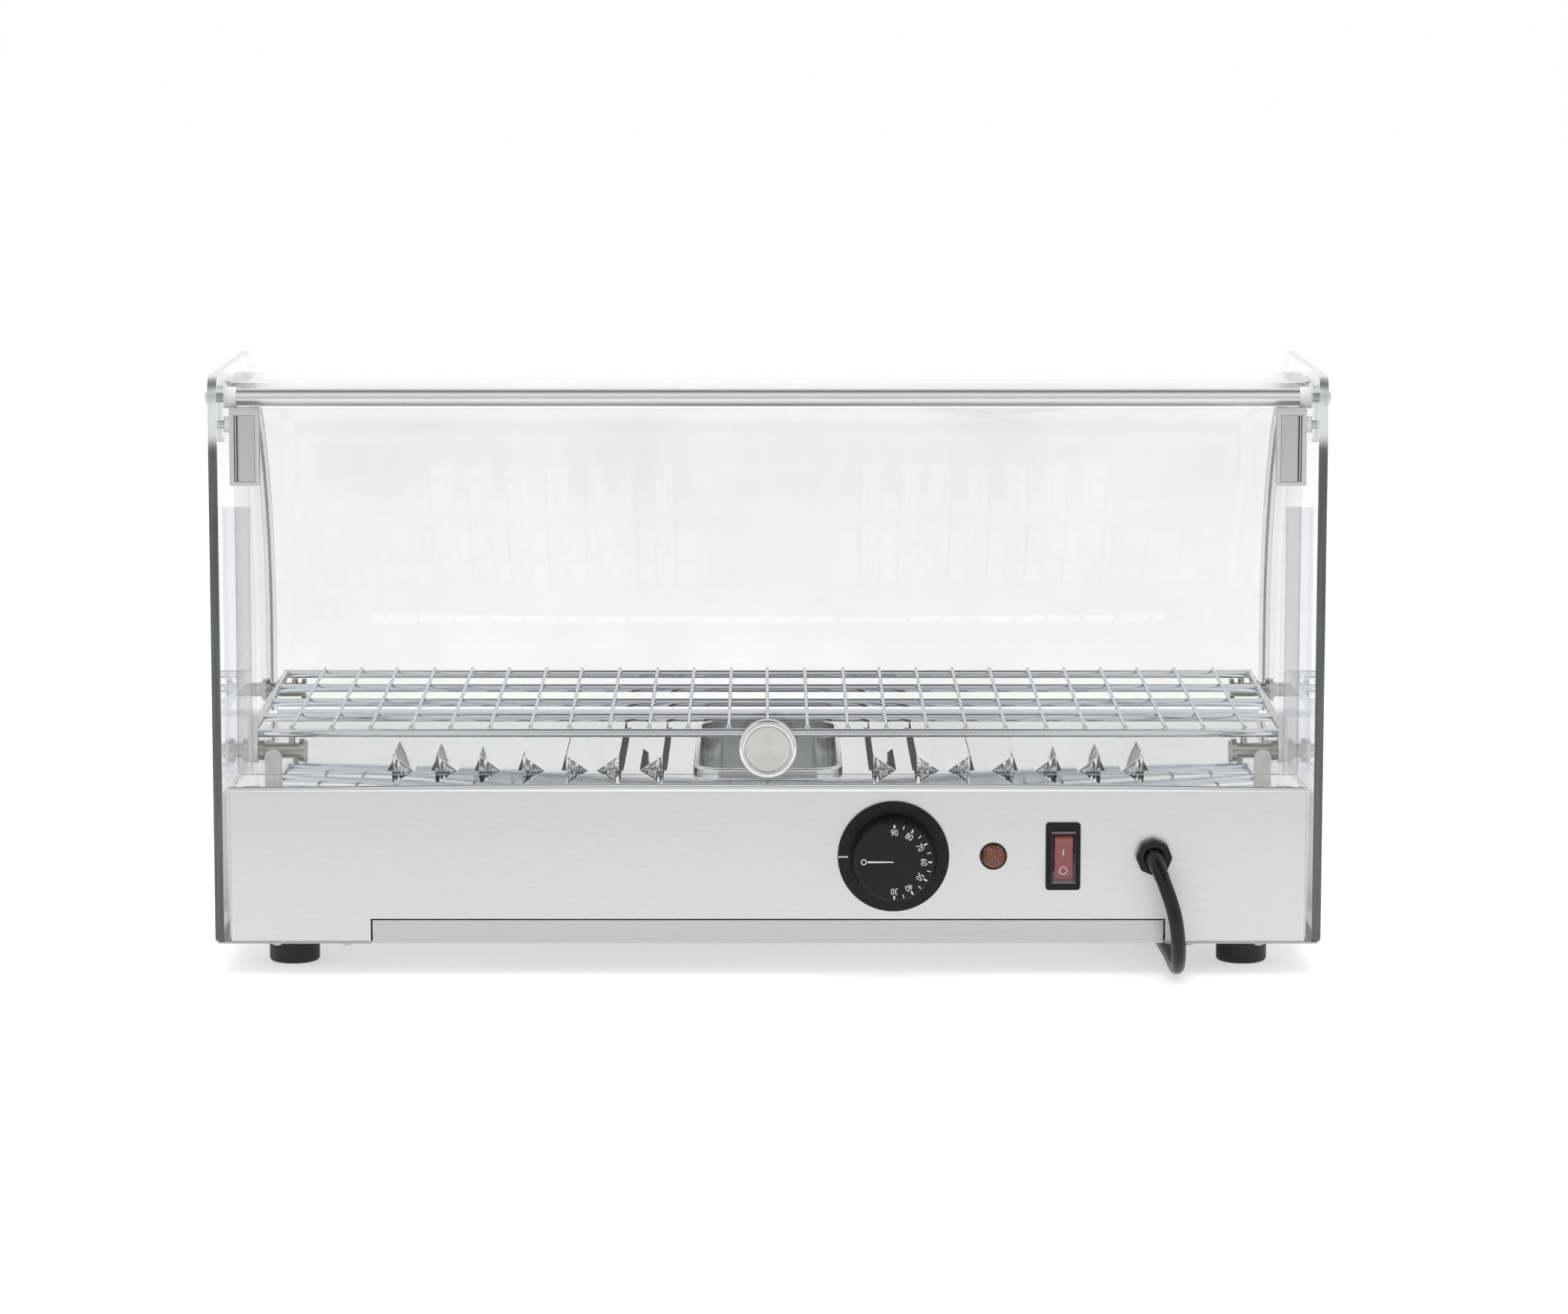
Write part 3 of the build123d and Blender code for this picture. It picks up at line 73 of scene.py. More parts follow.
camera_data = bpy.data.cameras.new("studio_camera")
camera_data.sensor_fit = "HORIZONTAL"
camera_data.sensor_width = 36.0
camera_data.lens = FOCAL_PIXELS / PICTURE_WIDTH * camera_data.sensor_width
camera_data.shift_x = SHIFT_PIXELS / PICTURE_WIDTH
camera_data.clip_end = 60.0
camera = into_scene("studio_camera", camera_data)
camera.location = (0.0, -CAMERA_BACK, CAMERA_UP)
camera.rotation_euler = (math.radians(90.0 - CAMERA_TILT), 0.0, 0.0)
bpy.context.scene.camera = camera
print("lens", round(camera_data.lens, 1), "mm")

# %% [markdown]
# ## Grids into meshes
#
# Most new pieces are surfaces: a grid of points worked out by numpy from two parameters. This
# helper joins the grid points into four-sided faces, and it can close the grid round either
# parameter, as a tube or a ring needs. Others turn a profile, carry a circle along a path, and
# make the mesh object.

# %% Surface helpers
MM = 0.001


def round_angles(count):
    """Evenly spaced angles, once round."""
    return np.linspace(0, 2 * math.pi, count, endpoint=False)


def rows_of(items, what):
    """One vector of each vertex or face, such as its place, as the rows of an array."""
    flat = np.empty(len(items) * 3)
    items.foreach_get(what, flat)
    return flat.reshape(-1, 3)


def quads(rows, columns, close_rows=False, close_columns=False):
    """Corner numbers of the faces of a grid: each face takes a point, the next one in its row,
    and the two that lie beside them in the next row."""
    i = np.arange(rows if close_rows else rows - 1)[:, None]
    j = np.arange(columns if close_columns else columns - 1)[None, :]
    i2, j2 = (i + 1) % rows, (j + 1) % columns
    corners = np.broadcast_arrays(i * columns + j, i * columns + j2, i2 * columns + j2,
                                  i2 * columns + j)
    return np.stack(corners, -1).reshape(-1, 4)


def grid(*parts):
    """Rows and columns of points, from arrays that give their x, y and z."""
    return np.stack(np.broadcast_arrays(*parts), -1)


def lathe(profile, count):
    """Turn a profile of (radius, along) rows about an axis; both ends lie on the axis. Gives the
    points as (across, along, up) and the faces; the two poles are single points."""
    angle = round_angles(count)[None, :]
    ring_r, ring_y = profile[1:-1, 0][:, None], profile[1:-1, 1][:, None]
    rings = grid(ring_r * np.cos(angle), ring_y, ring_r * np.sin(angle))
    total = rings.shape[0] * count
    points = np.concatenate([rings.reshape(-1, 3), [(0, profile[0, 1], 0)],
                             [(0, profile[-1, 1], 0)]])
    here = np.arange(count)
    beside = (here + 1) % count
    first = np.stack([beside, here, np.full(count, total)], 1)
    last = np.stack([here + total - count, beside + total - count, np.full(count, total + 1)], 1)
    sides = quads(rings.shape[0], count, close_columns=True)
    return points, first.tolist() + sides.tolist() + last.tolist()


def tube(path, radii, sides, hint):
    """A round bar carried along a path: at each point of it a circle of that radius, square to
    the path, with both ends closed. hint is a direction that the path never takes."""
    path, radii = np.asarray(path, float), np.asarray(radii, float)
    ahead = np.gradient(path, axis=0)
    ahead /= np.linalg.norm(ahead, axis=1)[:, None]
    across = np.cross(ahead, hint)
    across /= np.linalg.norm(across, axis=1)[:, None]
    up = np.cross(across, ahead)
    angle = round_angles(sides)[None, :, None]
    ring = np.cos(angle) * across[:, None, :] + np.sin(angle) * up[:, None, :]
    points = path[:, None, :] + radii[:, None, None] * ring
    last = (len(path) - 1) * sides
    ends = [list(range(sides))[::-1], list(range(last, last + sides))]
    return points, quads(len(path), sides, close_columns=True).tolist() + ends


def piece(name, patches, body, smooth=True, flip=False, solid=False):
    """A mesh object from patches of (points, faces); it rides on a CAD body. Where it is a
    closed solid, the sign of its volume says whether its faces point outwards."""
    points, faces, start = [], [], 0
    for patch_points, patch_faces in patches:
        flat = np.asarray(patch_points, float).reshape(-1, 3)
        points.append(flat)
        faces.extend([int(c) + start for c in face] for face in patch_faces)
        start += len(flat)
    points = np.concatenate(points)
    if flip:
        faces = [face[::-1] for face in faces]
    mesh = bpy.data.meshes.new(name)
    mesh.from_pydata(points.tolist(), [], faces)
    mesh.validate()
    if solid:
        mesh.calc_loop_triangles()
        corners = np.empty(len(mesh.loop_triangles) * 3, int)
        mesh.loop_triangles.foreach_get("vertices", corners)
        a, b, c = (points[corners[k::3]] for k in range(3))
        if np.einsum("ij,ij->i", a, np.cross(b, c)).sum() < 0:
            mesh.flip_normals()
    mesh.polygons.foreach_set("use_smooth", np.full(len(mesh.polygons), smooth))
    made = into_scene(name, mesh)
    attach(made, body)
    print(name, len(points), "points")
    return made


# %% [markdown]
# ## Nodes and colours
#
# A colour is written as it looks on a screen, in sRGB hex. Blender's shaders count in linear
# light, so one function turns the hex value to linear. Another small function adds a node with
# its settings and its links, and every material is built with it.

# %% Material helpers
def linear(code):
    """Linear red, green, blue and alpha of an sRGB hex colour such as "#c8c8c8"."""
    raw = np.array([int(code[i:i + 2], 16) for i in (1, 3, 5)]) / 255.0
    lit = np.where(raw <= 0.04045, raw / 12.92, ((raw + 0.055) / 1.055) ** 2.4)
    return (*lit.tolist(), 1.0)


def add(tree, kind, inputs=None, **settings):
    """Add a node. inputs gives sockets, by name or number, a value or another node's output:
    the first one in use, where only the node is given."""
    made = tree.nodes.new("ShaderNode" + kind)
    for key, value in settings.items():
        setattr(made, key, value)
    for key, value in (inputs or {}).items():
        if isinstance(value, bpy.types.Node):
            value = next(output for output in value.outputs if output.enabled)
        if isinstance(value, bpy.types.NodeSocket):
            tree.links.new(value, made.inputs[key])
        else:
            made.inputs[key].default_value = value
    return made


def start(name):
    """An empty material, its node tree, and the place on the piece that its patterns read."""
    material = bpy.data.materials.new(name)
    material.use_nodes = True
    tree = material.node_tree
    tree.nodes.clear()
    return material, tree, add(tree, "TexCoord").outputs["Object"]


def per_mm(size):
    """Noise scale that gives features about this many millimetres across."""
    return 1000.0 / size


def grained(name, colour, second, size_mm, stretch=(1, 1, 1), metallic=0.0, roughness=0.5,
            spread=0.1, bump=0.0, **sockets):
    """A solid finish with grain: noise of a real size varies the colour between two tones,
    the roughness a little either way and the surface height. stretch lengthens the grain, and
    sockets sets others of the shader's sockets."""
    material, tree, place = start(name)
    stretched = add(tree, "Mapping", {"Vector": place, "Scale": tuple(1.0 / s for s in stretch)})
    grain = add(tree, "TexNoise", {"Vector": stretched, "Scale": per_mm(size_mm), "Detail": 3.0})
    tone = add(tree, "Mix", {"Factor": grain, "A": linear(colour), "B": linear(second)},
               data_type="RGBA")
    rough = add(tree, "MapRange", {"Value": grain, "To Min": roughness - spread,
                                   "To Max": roughness + spread})
    inputs = {"Base Color": tone, "Roughness": rough, "Metallic": metallic}
    if bump:
        inputs["Normal"] = add(tree, "Bump", {"Height": grain, "Strength": 1.0,
                                              "Distance": bump * MM})
    shader = add(tree, "BsdfPrincipled", {**inputs, **sockets})
    add(tree, "OutputMaterial", {"Surface": shader})
    return material


def dress(material, *targets):
    """Give a finish to pieces: CAD nodes by name, new pieces as objects."""
    for target in targets:
        slots = (nodes[target] if isinstance(target, str) else target).data.materials
        slots.clear()
        slots.append(material)
    print(material.name, "on", len(targets), "pieces")


# %% [markdown]
# ## The mains lead
#
# The lead is a rubber-sheathed cable, 8 mm thick and about 1.8 m long. It leaves the gland
# straight, drops in front of the panel, tucks under the base and runs out to the customer's
# side, where the rest is wound in a flat coil that ends in a moulded plug. It is one smooth
# NURBS curve. The turns of the coil are points of that same curve: the angle grows evenly, and
# the radius shrinks on the counter, then grows again on top of the first turns. Blender turns
# the curve into a mesh twice: once bare, which gives the line the lead follows, and once with a
# round bevel, which gives the sheath.

# %% Mains lead
CORD_D = 8.0
LEAD = [(216, -149, 67.7), (216, -157, 67.7), (219.5, -172, 58.7), (225.5, -181, 41.7),
        (227.8, -179, 23.7), (228.6, -167, 9.7), (229, -145, 4.5), (229.4, -107, 4),
        (227, -43, 4), (219, 37, 4), (206, 119, 4), (172, 181, 4), (120, 221, 4)]
TAIL = [(180, 309, 11.5), (198, 301.5, 13), (213, 293.5, 18.5), (226, 287.5, 18.5)]
COIL = np.array([151.7, 262.2])
STEP = 1.0 / 15.0
run = np.array(LEAD[-1][:2]) - COIL
first_angle = math.atan2(run[1], run[0])
all_turns = 4.0 + (first_angle - math.radians(80.0)) % (2 * math.pi) / (2 * math.pi)
turn = np.linspace(STEP, all_turns, int(round(all_turns / STEP)))
angle = first_angle - turn * 2 * math.pi
stages = [0.0, 2.1, 2.35, all_turns]
radius = np.interp(turn, stages, [52.3, 35.5, 35.5, 52.0])
height = np.interp(turn, stages, [4.0, 4.0, 12.0, 12.0])
coil = np.stack([COIL[0] + radius * np.cos(angle), COIL[1] + radius * np.sin(angle), height], 1)
route = np.concatenate([np.array(LEAD, float), coil, np.array(TAIL, float)]) * MM

lead_curve = bpy.data.curves.new("lead_route", "CURVE")
lead_curve.dimensions = "3D"
lead_curve.bevel_resolution = 5
lead_curve.resolution_u = 8
lead_curve.use_fill_caps = True
spline = lead_curve.splines.new("NURBS")
spline.points.add(len(route) - 1)
spline.points.foreach_set("co", np.column_stack([route, np.ones(len(route))]).ravel())
spline.order_u = 3
spline.use_endpoint_u = True
holder = bpy.data.objects.new("lead_route", lead_curve)
bare = bpy.data.meshes.new_from_object(holder)
lead_line = rows_of(bare.vertices, "co")
lead_curve.bevel_depth = CORD_D / 2 * MM
sheath = bpy.data.meshes.new_from_object(holder)
sheath.polygons.foreach_set("use_smooth", np.full(len(sheath.polygons), True))
bpy.data.meshes.remove(bare)
bpy.data.objects.remove(holder)
mains_lead = into_scene("mains_lead", sheath)
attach(mains_lead, "case")
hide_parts("cord_lead", "cord_coil", "cord_tail")
steps = np.linalg.norm(np.diff(lead_line, axis=0), axis=1)
print("lead length", round(float(steps.sum()), 3), "m")

# %% [markdown]
# ## The boot on the lead
#
# Where a lead leaves a gland, a soft tapered boot keeps it from folding sharply. It follows the
# first 22 mm of the lead's own line. Its radius falls as a square root, quickly at first, from
# 5.3 mm to just over the lead's own.

# %% Lead boot
BOOT_START, BOOT_L, BOOT_R, BOOT_TIP_R = 3.0, 22.0, 5.3, 4.15
gone = np.concatenate([[0.0], np.cumsum(steps)]) / MM
station = np.linspace(BOOT_START, BOOT_L, 40)
boot_path = np.stack([np.interp(station, gone, lead_line[:, k]) for k in range(3)], 1)
share = (station - station[0]) / (station[-1] - station[0])
boot_r = BOOT_R - (BOOT_R - BOOT_TIP_R) * np.sqrt(share)
lead_boot = piece("lead_boot", [tube(boot_path, boot_r * MM, 32, (1, 0, 0))], "case", solid=True)

# %% [markdown]
# ## The wire rack
#
# The rack is welded from chromed wire: five 5 mm rods run along the case, one more closes each
# end, and 25 thin wires lie across them. Each weld leaves a small bead, and the near ends of the
# thin wires are rounded by the chrome. Every bar is a circle carried along a straight path, and
# its radius swells near each weld as a bell curve does. The thin wires sink a little into the
# rods, and each one strays a few tenths of a millimetre from its even place.

# %% Wire rack
RACK_HALF, ROD_R, WIRE_R, WIRE_PITCH, WIRES = 295.5, 2.5, 1.0, 22.5, 25
NEAR_Y, FAR_Y, NEAR_Z, FAR_Z = -99.5, 108.5, 130.9, 135.5
ROD_END, WIRE_END, SINK = 0.5, 1.3, 0.35
BEAD_L, BEAD_R, TIP_L, TIP_R = 1.5, 0.28, 1.1, 0.35
ROD_Y = np.linspace(NEAR_Y, FAR_Y, 5)


def rack_z(y):
    """Height of the rods' axes: the rack leans down towards the operator."""
    return NEAR_Z + (y - NEAR_Y) * (FAR_Z - NEAR_Z) / (FAR_Y - NEAR_Y)


bars = []
for y in ROD_Y:
    x = np.array([-RACK_HALF + 1.0, -RACK_HALF + 1.6, RACK_HALF - 1.6, RACK_HALF - 1.0])
    bars.append((np.stack([x, np.full(4, y), np.full(4, rack_z(y))], 1),
                 ROD_R - np.array([ROD_END, 0, 0, ROD_END]), 24, (0, 0, 1)))
for side in (-1, 1):
    y = np.array([NEAR_Y - ROD_R, NEAR_Y - ROD_R + ROD_END, FAR_Y + ROD_R - ROD_END,
                  FAR_Y + ROD_R])
    bars.append((np.stack([np.full(4, side * (RACK_HALF - ROD_R)), y, rack_z(y)], 1),
                 ROD_R - np.array([ROD_END, 0.02, 0.02, ROD_END]), 24, (0, 0, 1)))
y = np.unique(np.concatenate([np.linspace(NEAR_Y - WIRE_END, FAR_Y + WIRE_END, 60)]
                             + [at + np.linspace(-3.5, 3.5, 9) for at in ROD_Y]))
y = y[(y >= NEAR_Y - WIRE_END) & (y <= FAR_Y + WIRE_END)]
bead = sum(np.exp(-((y - at) / BEAD_L) ** 2) for at in ROD_Y)
tip = np.exp(-((y - NEAR_Y) / TIP_L) ** 2)
ends = np.minimum(1.0, np.sqrt(np.clip((y - y[0]) * (y[-1] - y), 0, 2) / 2) + 0.35)
wire_r = (WIRE_R + BEAD_R * bead + TIP_R * tip) * ends
wire_z = rack_z(y) + ROD_R + WIRE_R - SINK - 0.15 * bead
for i in range(WIRES):
    stray = 0.3 * math.sin(i * 2.4) + 0.2 * math.cos(i * 1.3) * (y - NEAR_Y) / 100
    x = (i - (WIRES - 1) / 2) * WIRE_PITCH + stray
    bars.append((np.stack([x, y, wire_z], 1), wire_r, 12, (1, 0, 0)))
rack = piece("welded_rack", [tube(p * MM, r * MM, s, hint) for p, r, s, hint in bars], "rack",
             solid=True)
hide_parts("wire_rack")

# %% [markdown]
# ## The polished deck and its louvers
#
# The deck is one sheet of mirror-polished steel. A press has cut 14 slits in it and pushed one
# side of each slit up into a hood that lets warm air out. The sheet is a grid of points in two
# directions, without the cells where it is open, and its edges are rolled down in a quarter
# circle. Along the operator's edge its middle stands 1.8 mm high and its corners dip a few
# tenths of a millimetre, as thin sheet does, which makes its reflections flow.

# %% Polished deck
DECK_Z, DECK_X, DECK_NEAR, DECK_FAR = 107.0, 303.0, -144.0, 144.5
LOUVER_H, LOUVER_W, SLIT_W, LOUVER_Y0, LOUVER_Y1 = 8.0, 13.0, 2.6, -89.5, 80.5
ROLL_R, ROLL_DROP, CROWN = 1.4, 2.4, 1.8
SIDE_START, SIDE_REACH, CROWN_START, CROWN_REACH = 60.0, 235.0, -45.0, 99.0
DIP, DIP_FADE = 0.45, 22.0
PAN_Y, PAN_HALF_W, PAN_HALF_L, PAN_CORNER = -14.5, 40.8, 90.8, 15.8
OUTER_X, INNER_X, LOUVER_PITCH, TAB = 115.2, 60.2, 24.8, 2.0
louvers = [(OUTER_X + LOUVER_PITCH * i, -1) for i in range(5)]
louvers += [(INNER_X + LOUVER_PITCH * i, 1) for i in range(2)]
louvers += [(-ridge, -side) for ridge, side in louvers]


def rolled(low, high, inside):
    """Places across the sheet, and how far each lies below it: level inside, and at both ends
    a quarter circle, then straight down."""
    a = np.linspace(0, math.pi / 2, 6)[1:]
    out = np.append(ROLL_R * np.sin(a), ROLL_R)
    down = np.append(ROLL_R * (1 - np.cos(a)), ROLL_DROP)
    inside = np.unique(np.round(inside, 2))
    inside = inside[(inside >= low + ROLL_R) & (inside <= high - ROLL_R)]
    place = np.concatenate([(low + ROLL_R - out)[::-1], inside, high - ROLL_R + out])
    return place, np.concatenate([down[::-1], 0 * inside, down])


def unevenness(x, y):
    """Height of the sheet over a true plane: a crown that grows towards the middle of the near
    edge, less a wavy dip at the two corners that fades exponentially away from that edge."""
    corner = np.clip((np.abs(x) - SIDE_START) / SIDE_REACH, 0, 1)
    near = np.clip(CROWN_START - y, 0, CROWN_REACH) / CROWN_REACH
    wave = 0.55 + 0.3 * np.sin(x / 47 + 0.6) + 0.15 * np.sin(x / 19)
    dip = DIP * wave * np.exp((DECK_NEAR - y) / DIP_FADE) * corner ** 2
    return CROWN * (1 - corner ** 1.5) * near ** 1.7 - dip


slits = [ridge + side * step for ridge, side in louvers for step in (-SLIT_W, 0, LOUVER_W)]
across, drop_x = rolled(-DECK_X, DECK_X, np.concatenate(
    [slits, np.arange(-301.6, 301.7, 4.0), np.arange(-44, 45, 1.0)]))
depth, drop_y = rolled(DECK_NEAR, DECK_FAR, np.concatenate(
    [[LOUVER_Y0, LOUVER_Y0 + TAB, LOUVER_Y1 - TAB, LOUVER_Y1], np.arange(-142.6, -100, 0.8),
     np.arange(-100, 143.1, 4.0), np.arange(-107, -87, 1.0), np.arange(58, 78, 1.0)]))
sx, sy = across[:, None], depth[None, :]
down = drop_x[:, None] + drop_y[None, :]
sheet_z = DECK_Z - np.minimum(down, ROLL_DROP) + unevenness(sx, sy) * (down < 2.0)
mx, my = ((across[1:] + across[:-1]) / 2)[:, None], ((depth[1:] + depth[:-1]) / 2)[None, :]
past = np.hypot(np.maximum(np.abs(mx) - PAN_HALF_W + PAN_CORNER, 0),
                np.maximum(np.abs(my - PAN_Y) - PAN_HALF_L + PAN_CORNER, 0))
is_open = past < PAN_CORNER
for ridge, side in louvers:
    step = (mx - ridge) * side
    hood = (step > 0) & (step < LOUVER_W) & (my > LOUVER_Y0) & (my < LOUVER_Y1)
    slit = (step > -SLIT_W) & (step < 0) & (my > LOUVER_Y0 + TAB) & (my < LOUVER_Y1 - TAB)
    is_open = is_open | hood | slit
sheet_faces = quads(len(across), len(depth))[~is_open.ravel()][:, ::-1]
print("deck", len(sheet_faces), "faces")

# %% [markdown]
# ## The louvers' hoods
#
# A hood stands on the same uneven surface as the sheet. Its height is a smooth minimum of three
# slopes: one falls evenly from the ridge to the sheet, and the two ends rise at a little over 45
# degrees. The press leaves the ends creased, so their steepness changes across the hood. The
# hood has a dull underside 0.8 mm below its polished top, painted nearly black as the shade
# inside the base, and a narrow face at the ridge shows the sheet's thickness.

# %% Louver hoods
SHEET_T, SOFTNESS, END_SLOPE = 0.8, 0.22, 1.25
end_step = np.concatenate([np.linspace(0, 11, 30), [16, 40]])
hood_y = np.concatenate([LOUVER_Y0 + end_step, LOUVER_Y1 - end_step[::-1]])
hood_v = np.linspace(0, 1, 17)


def hood_height(seed):
    """Height of a hood over the sheet, on the grid of places along it and across it."""
    v, y = hood_v[None, :], hood_y[:, None]
    crease = END_SLOPE + 0.2 * np.sin(7.5 * v + seed) + 0.12 * np.sin(19 * v + 2 * seed)
    slopes = np.stack(np.broadcast_arrays(LOUVER_H * (1 - v), (y - LOUVER_Y0) * crease,
                                          (LOUVER_Y1 - y) * crease))
    return np.maximum(-SOFTNESS * np.log(np.exp(-slopes / SOFTNESS).sum(0)), 0)


tops, undersides = [(grid(sx, sy, sheet_z) * MM, sheet_faces)], []
at_y = hood_y[:, None]
for k, (ridge, side) in enumerate(louvers):
    at_x = ridge + side * LOUVER_W * hood_v[None, :]
    top = grid(at_x, at_y, DECK_Z + unevenness(at_x, at_y) + hood_height(0.9 * k))
    below = top - (0, 0, SHEET_T)
    lip = np.stack([below[:, 0], top[:, 0]], 1)
    faces, lip_faces = quads(len(hood_y), len(hood_v)), quads(len(hood_y), 2)
    tops.append((top * MM, faces[:, ::side]))
    tops.append((lip * MM, lip_faces[:, ::side]))
    undersides.append((below * MM, faces[:, ::-side]))
deck = piece("polished_deck", tops, "case")
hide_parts("deck_plate")
louver_undersides = piece("louver_undersides", undersides, "case")

# %% [markdown]
# ## The door knob
#
# The knob is turned from bar: a polished rim, a fine groove, and a flat face that the tool has
# left spun, so its highlights fan out like a bow tie. It is a lathe form: a profile of radius
# and height turned about the knob's axis. The rim and the face get their own finish.

# %% Door knob
KNOB_Z, DOOR_FACE, DISH_R, DISH_Y = 130.4, -137.5, 12.0, -152.5
knob_profile = np.array([
    (0, 0.1), (5.9, 0.1), (6, 0.2), (6, 10), (6.2, 10.1), (14.2, 10.1), (14.4, 10.2),
    (16.1, 11.9), (16.2, 12.1), (16.2, 18.2), (16.05, 18.9), (15.6, 19.5), (14.9, 19.9),
    (14.2, 20.0), (13.5, 19.85), (13.0, 19.4), (12.85, 18.7), (12.75, 18.5), (12.5, 18.45),
    (12.35, 18.6), (12.25, 18.95), (12.1, 19.05), (11.9, 19.05), (8, 18.95), (4, 18.9),
    (0.4, 18.88), (0, 18.88)])
turned, knob_faces = lathe(knob_profile * (1, -1), 96)
turned = (turned + (0, DOOR_FACE, KNOB_Z)) * MM
knob = piece("turned_knob", [(turned, knob_faces)], "door", solid=True)
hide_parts("door_knob")

# %% [markdown]
# ## Faces of the hinge clamps
#
# Each clamp is a bright cast channel with a sand-textured inlay on the operator's side. Between
# the inlay and the clamp's outer bar lie two thin dark strips, painted shade where the grooves
# are. The inlay is a thin plate with a softly rounded edge: its height is full inside, and falls
# near the edge as a quarter circle.

# %% Clamp inlays
CLAMP_Z0, CLAMP_Z1, CLAMP_FLOOR = 277.9, 315.0, -139.75
INLAY_X, LINE_X, LIP_X = (284.6, 293.8), (294.1, 294.9), (295.5, 296.1)


def cushion(side, ends, rise, edge):
    """A thin plate between two distances from the middle, on one side of the case: its front
    is full height, rounded off near the edge."""
    x0, x1 = sorted((side * ends[0], side * ends[1]))
    u = np.concatenate([np.linspace(0, edge, 6), np.linspace(x1 - x0 - edge, x1 - x0, 6)])
    tall = CLAMP_Z1 - CLAMP_Z0
    v = np.concatenate([np.linspace(0, edge, 6), np.linspace(tall - edge, tall, 6)])
    far_u = np.clip(1 - np.minimum(u, x1 - x0 - u) / edge, 0, 1)[:, None]
    far_v = np.clip(1 - np.minimum(v, tall - v) / edge, 0, 1)[None, :]
    height = rise * np.sqrt(np.clip(1 - far_u ** 2, 0, 1) * np.clip(1 - far_v ** 2, 0, 1))
    front = grid(x0 + u[:, None], CLAMP_FLOOR - height, CLAMP_Z0 + v[None, :])
    return front * MM, quads(len(u), len(v))


inlays, groove_shade_strips = [], []
for side, label in ((1, "right"), (-1, "left")):
    inlay = piece("clamp_inlay_" + label, [cushion(side, INLAY_X, rise=0.65, edge=0.6)], "door",
                  flip=True)
    # Two thin dark strips: painted shade where the clamp's grooves lie.
    groove_shade_strip = piece("clamp_groove_shade_" + label, [cushion(side, ends, rise=0.4, edge=0.3)
                                             for ends in (LINE_X, LIP_X)], "door", flip=True)
    inlays.append(inlay)
    groove_shade_strips.append(groove_shade_strip)

# %% [markdown]
# ## White prints on the controls
#
# The dial carries a plain temperature scale: tens from 30 to 90, thirty degrees of turn apart,
# with their tops outwards, a bold tick at each ten, a thin one between, and a ring with a line
# for off. Prints are only a film of paint, so each one is a flat mesh that lies 0.05 mm off the
# face below it. Text is made a mesh first, and numpy then turns it to its place.

# %% Flat prints
DIAL_X, CONTROL_Z = 70.3, 67.7
DIAL_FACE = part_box("thermostat_dial")[0].y / MM
BEZEL_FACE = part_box("thermostat_bezel")[0].y / MM
PRINT_GAP, TICK_REACH, DIGIT_REACH, DIGIT_H = 0.05, 20.0, 16.6, 3.6


def glyphs(text, height, narrow=0.82):
    """Flat points and faces of a number, with its middle at the origin. Its digits are height
    tall, and narrow is their width as a share of the font's own."""
    curve = bpy.data.curves.new("number", "FONT")
    curve.body = text
    curve.resolution_u = 3
    holder = bpy.data.objects.new("number", curve)
    mesh = bpy.data.meshes.new_from_object(holder)
    flat = rows_of(mesh.vertices, "co")[:, :2]
    low, high = flat.min(0), flat.max(0)
    flat = (flat - (low + high) / 2) * height / (high[1] - low[1]) * np.array([narrow, 1.0])
    faces = [list(p.vertices) for p in mesh.polygons]
    bpy.data.meshes.remove(mesh)
    bpy.data.objects.remove(holder)
    bpy.data.curves.remove(curve)
    return flat, faces


def bar(x0, x1, half0, half1):
    """A flat bar along x whose half width runs from half0 to half1."""
    return np.array([(x0, -half0), (x1, -half1), (x1, half1), (x0, half0)]), [[0, 1, 2, 3]]


def hoop(x, y, inner, outer, count=48):
    """A flat ring: two circles of points, the inner one first."""
    angle = round_angles(count)
    round_trip = np.stack([np.cos(angle), np.sin(angle)], 1)
    return (np.concatenate([round_trip * inner, round_trip * outer]) + (x, y),
            quads(2, count, close_columns=True)[:, ::-1])


def turned_flat(flat, degrees, reach):
    """Move flat points out by reach along y, then turn them clockwise about the origin."""
    a = math.radians(degrees)
    moved = flat + (0.0, reach)
    return moved @ np.array([[math.cos(a), -math.sin(a)], [math.sin(a), math.cos(a)]])


def on_face(flat, x, z, y):
    """Flat points on an upright face that looks towards the operator, in metres."""
    return np.stack([flat[:, 0] + x, np.full(len(flat), y), flat[:, 1] + z], 1) * MM


scale = []
for step in range(13):
    degrees, bold = 15.0 * step, step % 2 == 0
    half = 0.45 if bold else 0.25
    tick, faces = bar(-1.05, 1.05, half, half)
    scale.append((turned_flat(tick[:, ::-1] * (1, -1), degrees, TICK_REACH), faces))
    if bold:
        digits, faces = glyphs(str(90 - 5 * step), DIGIT_H)
        scale.append((turned_flat(digits, degrees, DIGIT_REACH), faces))
scale += [bar(-14.9, -0.4, 0.52, 0.3), hoop(-17.0, 0.0, 1.1, 1.65)]
dial_print = piece("dial_print", [(on_face(p, DIAL_X, CONTROL_Z, DIAL_FACE - PRINT_GAP), f)
                                  for p, f in scale], "dial", smooth=False)
tick, faces = bar(-30.8, -25.4, 0.45, 0.45)
tick = on_face(tick, DIAL_X, CONTROL_Z, BEZEL_FACE - PRINT_GAP)
bezel_print = piece("bezel_print", [(tick, faces)], "case", smooth=False)

# %% [markdown]
# ## The rocker's two marks
#
# The rocker's two faces meet in a shallow valley, so its line and ring are folded over that
# valley: a point's depth grows with its distance from the rocker's middle, and the whole print
# is then tilted with the rocker.

# %% Rocker print
ROCKER_X, ROCKER_AXIS_Y, ROCKER_TILT = 165.3, -142.2, math.radians(9.0)
ROCKER_DEPTH = 4.0


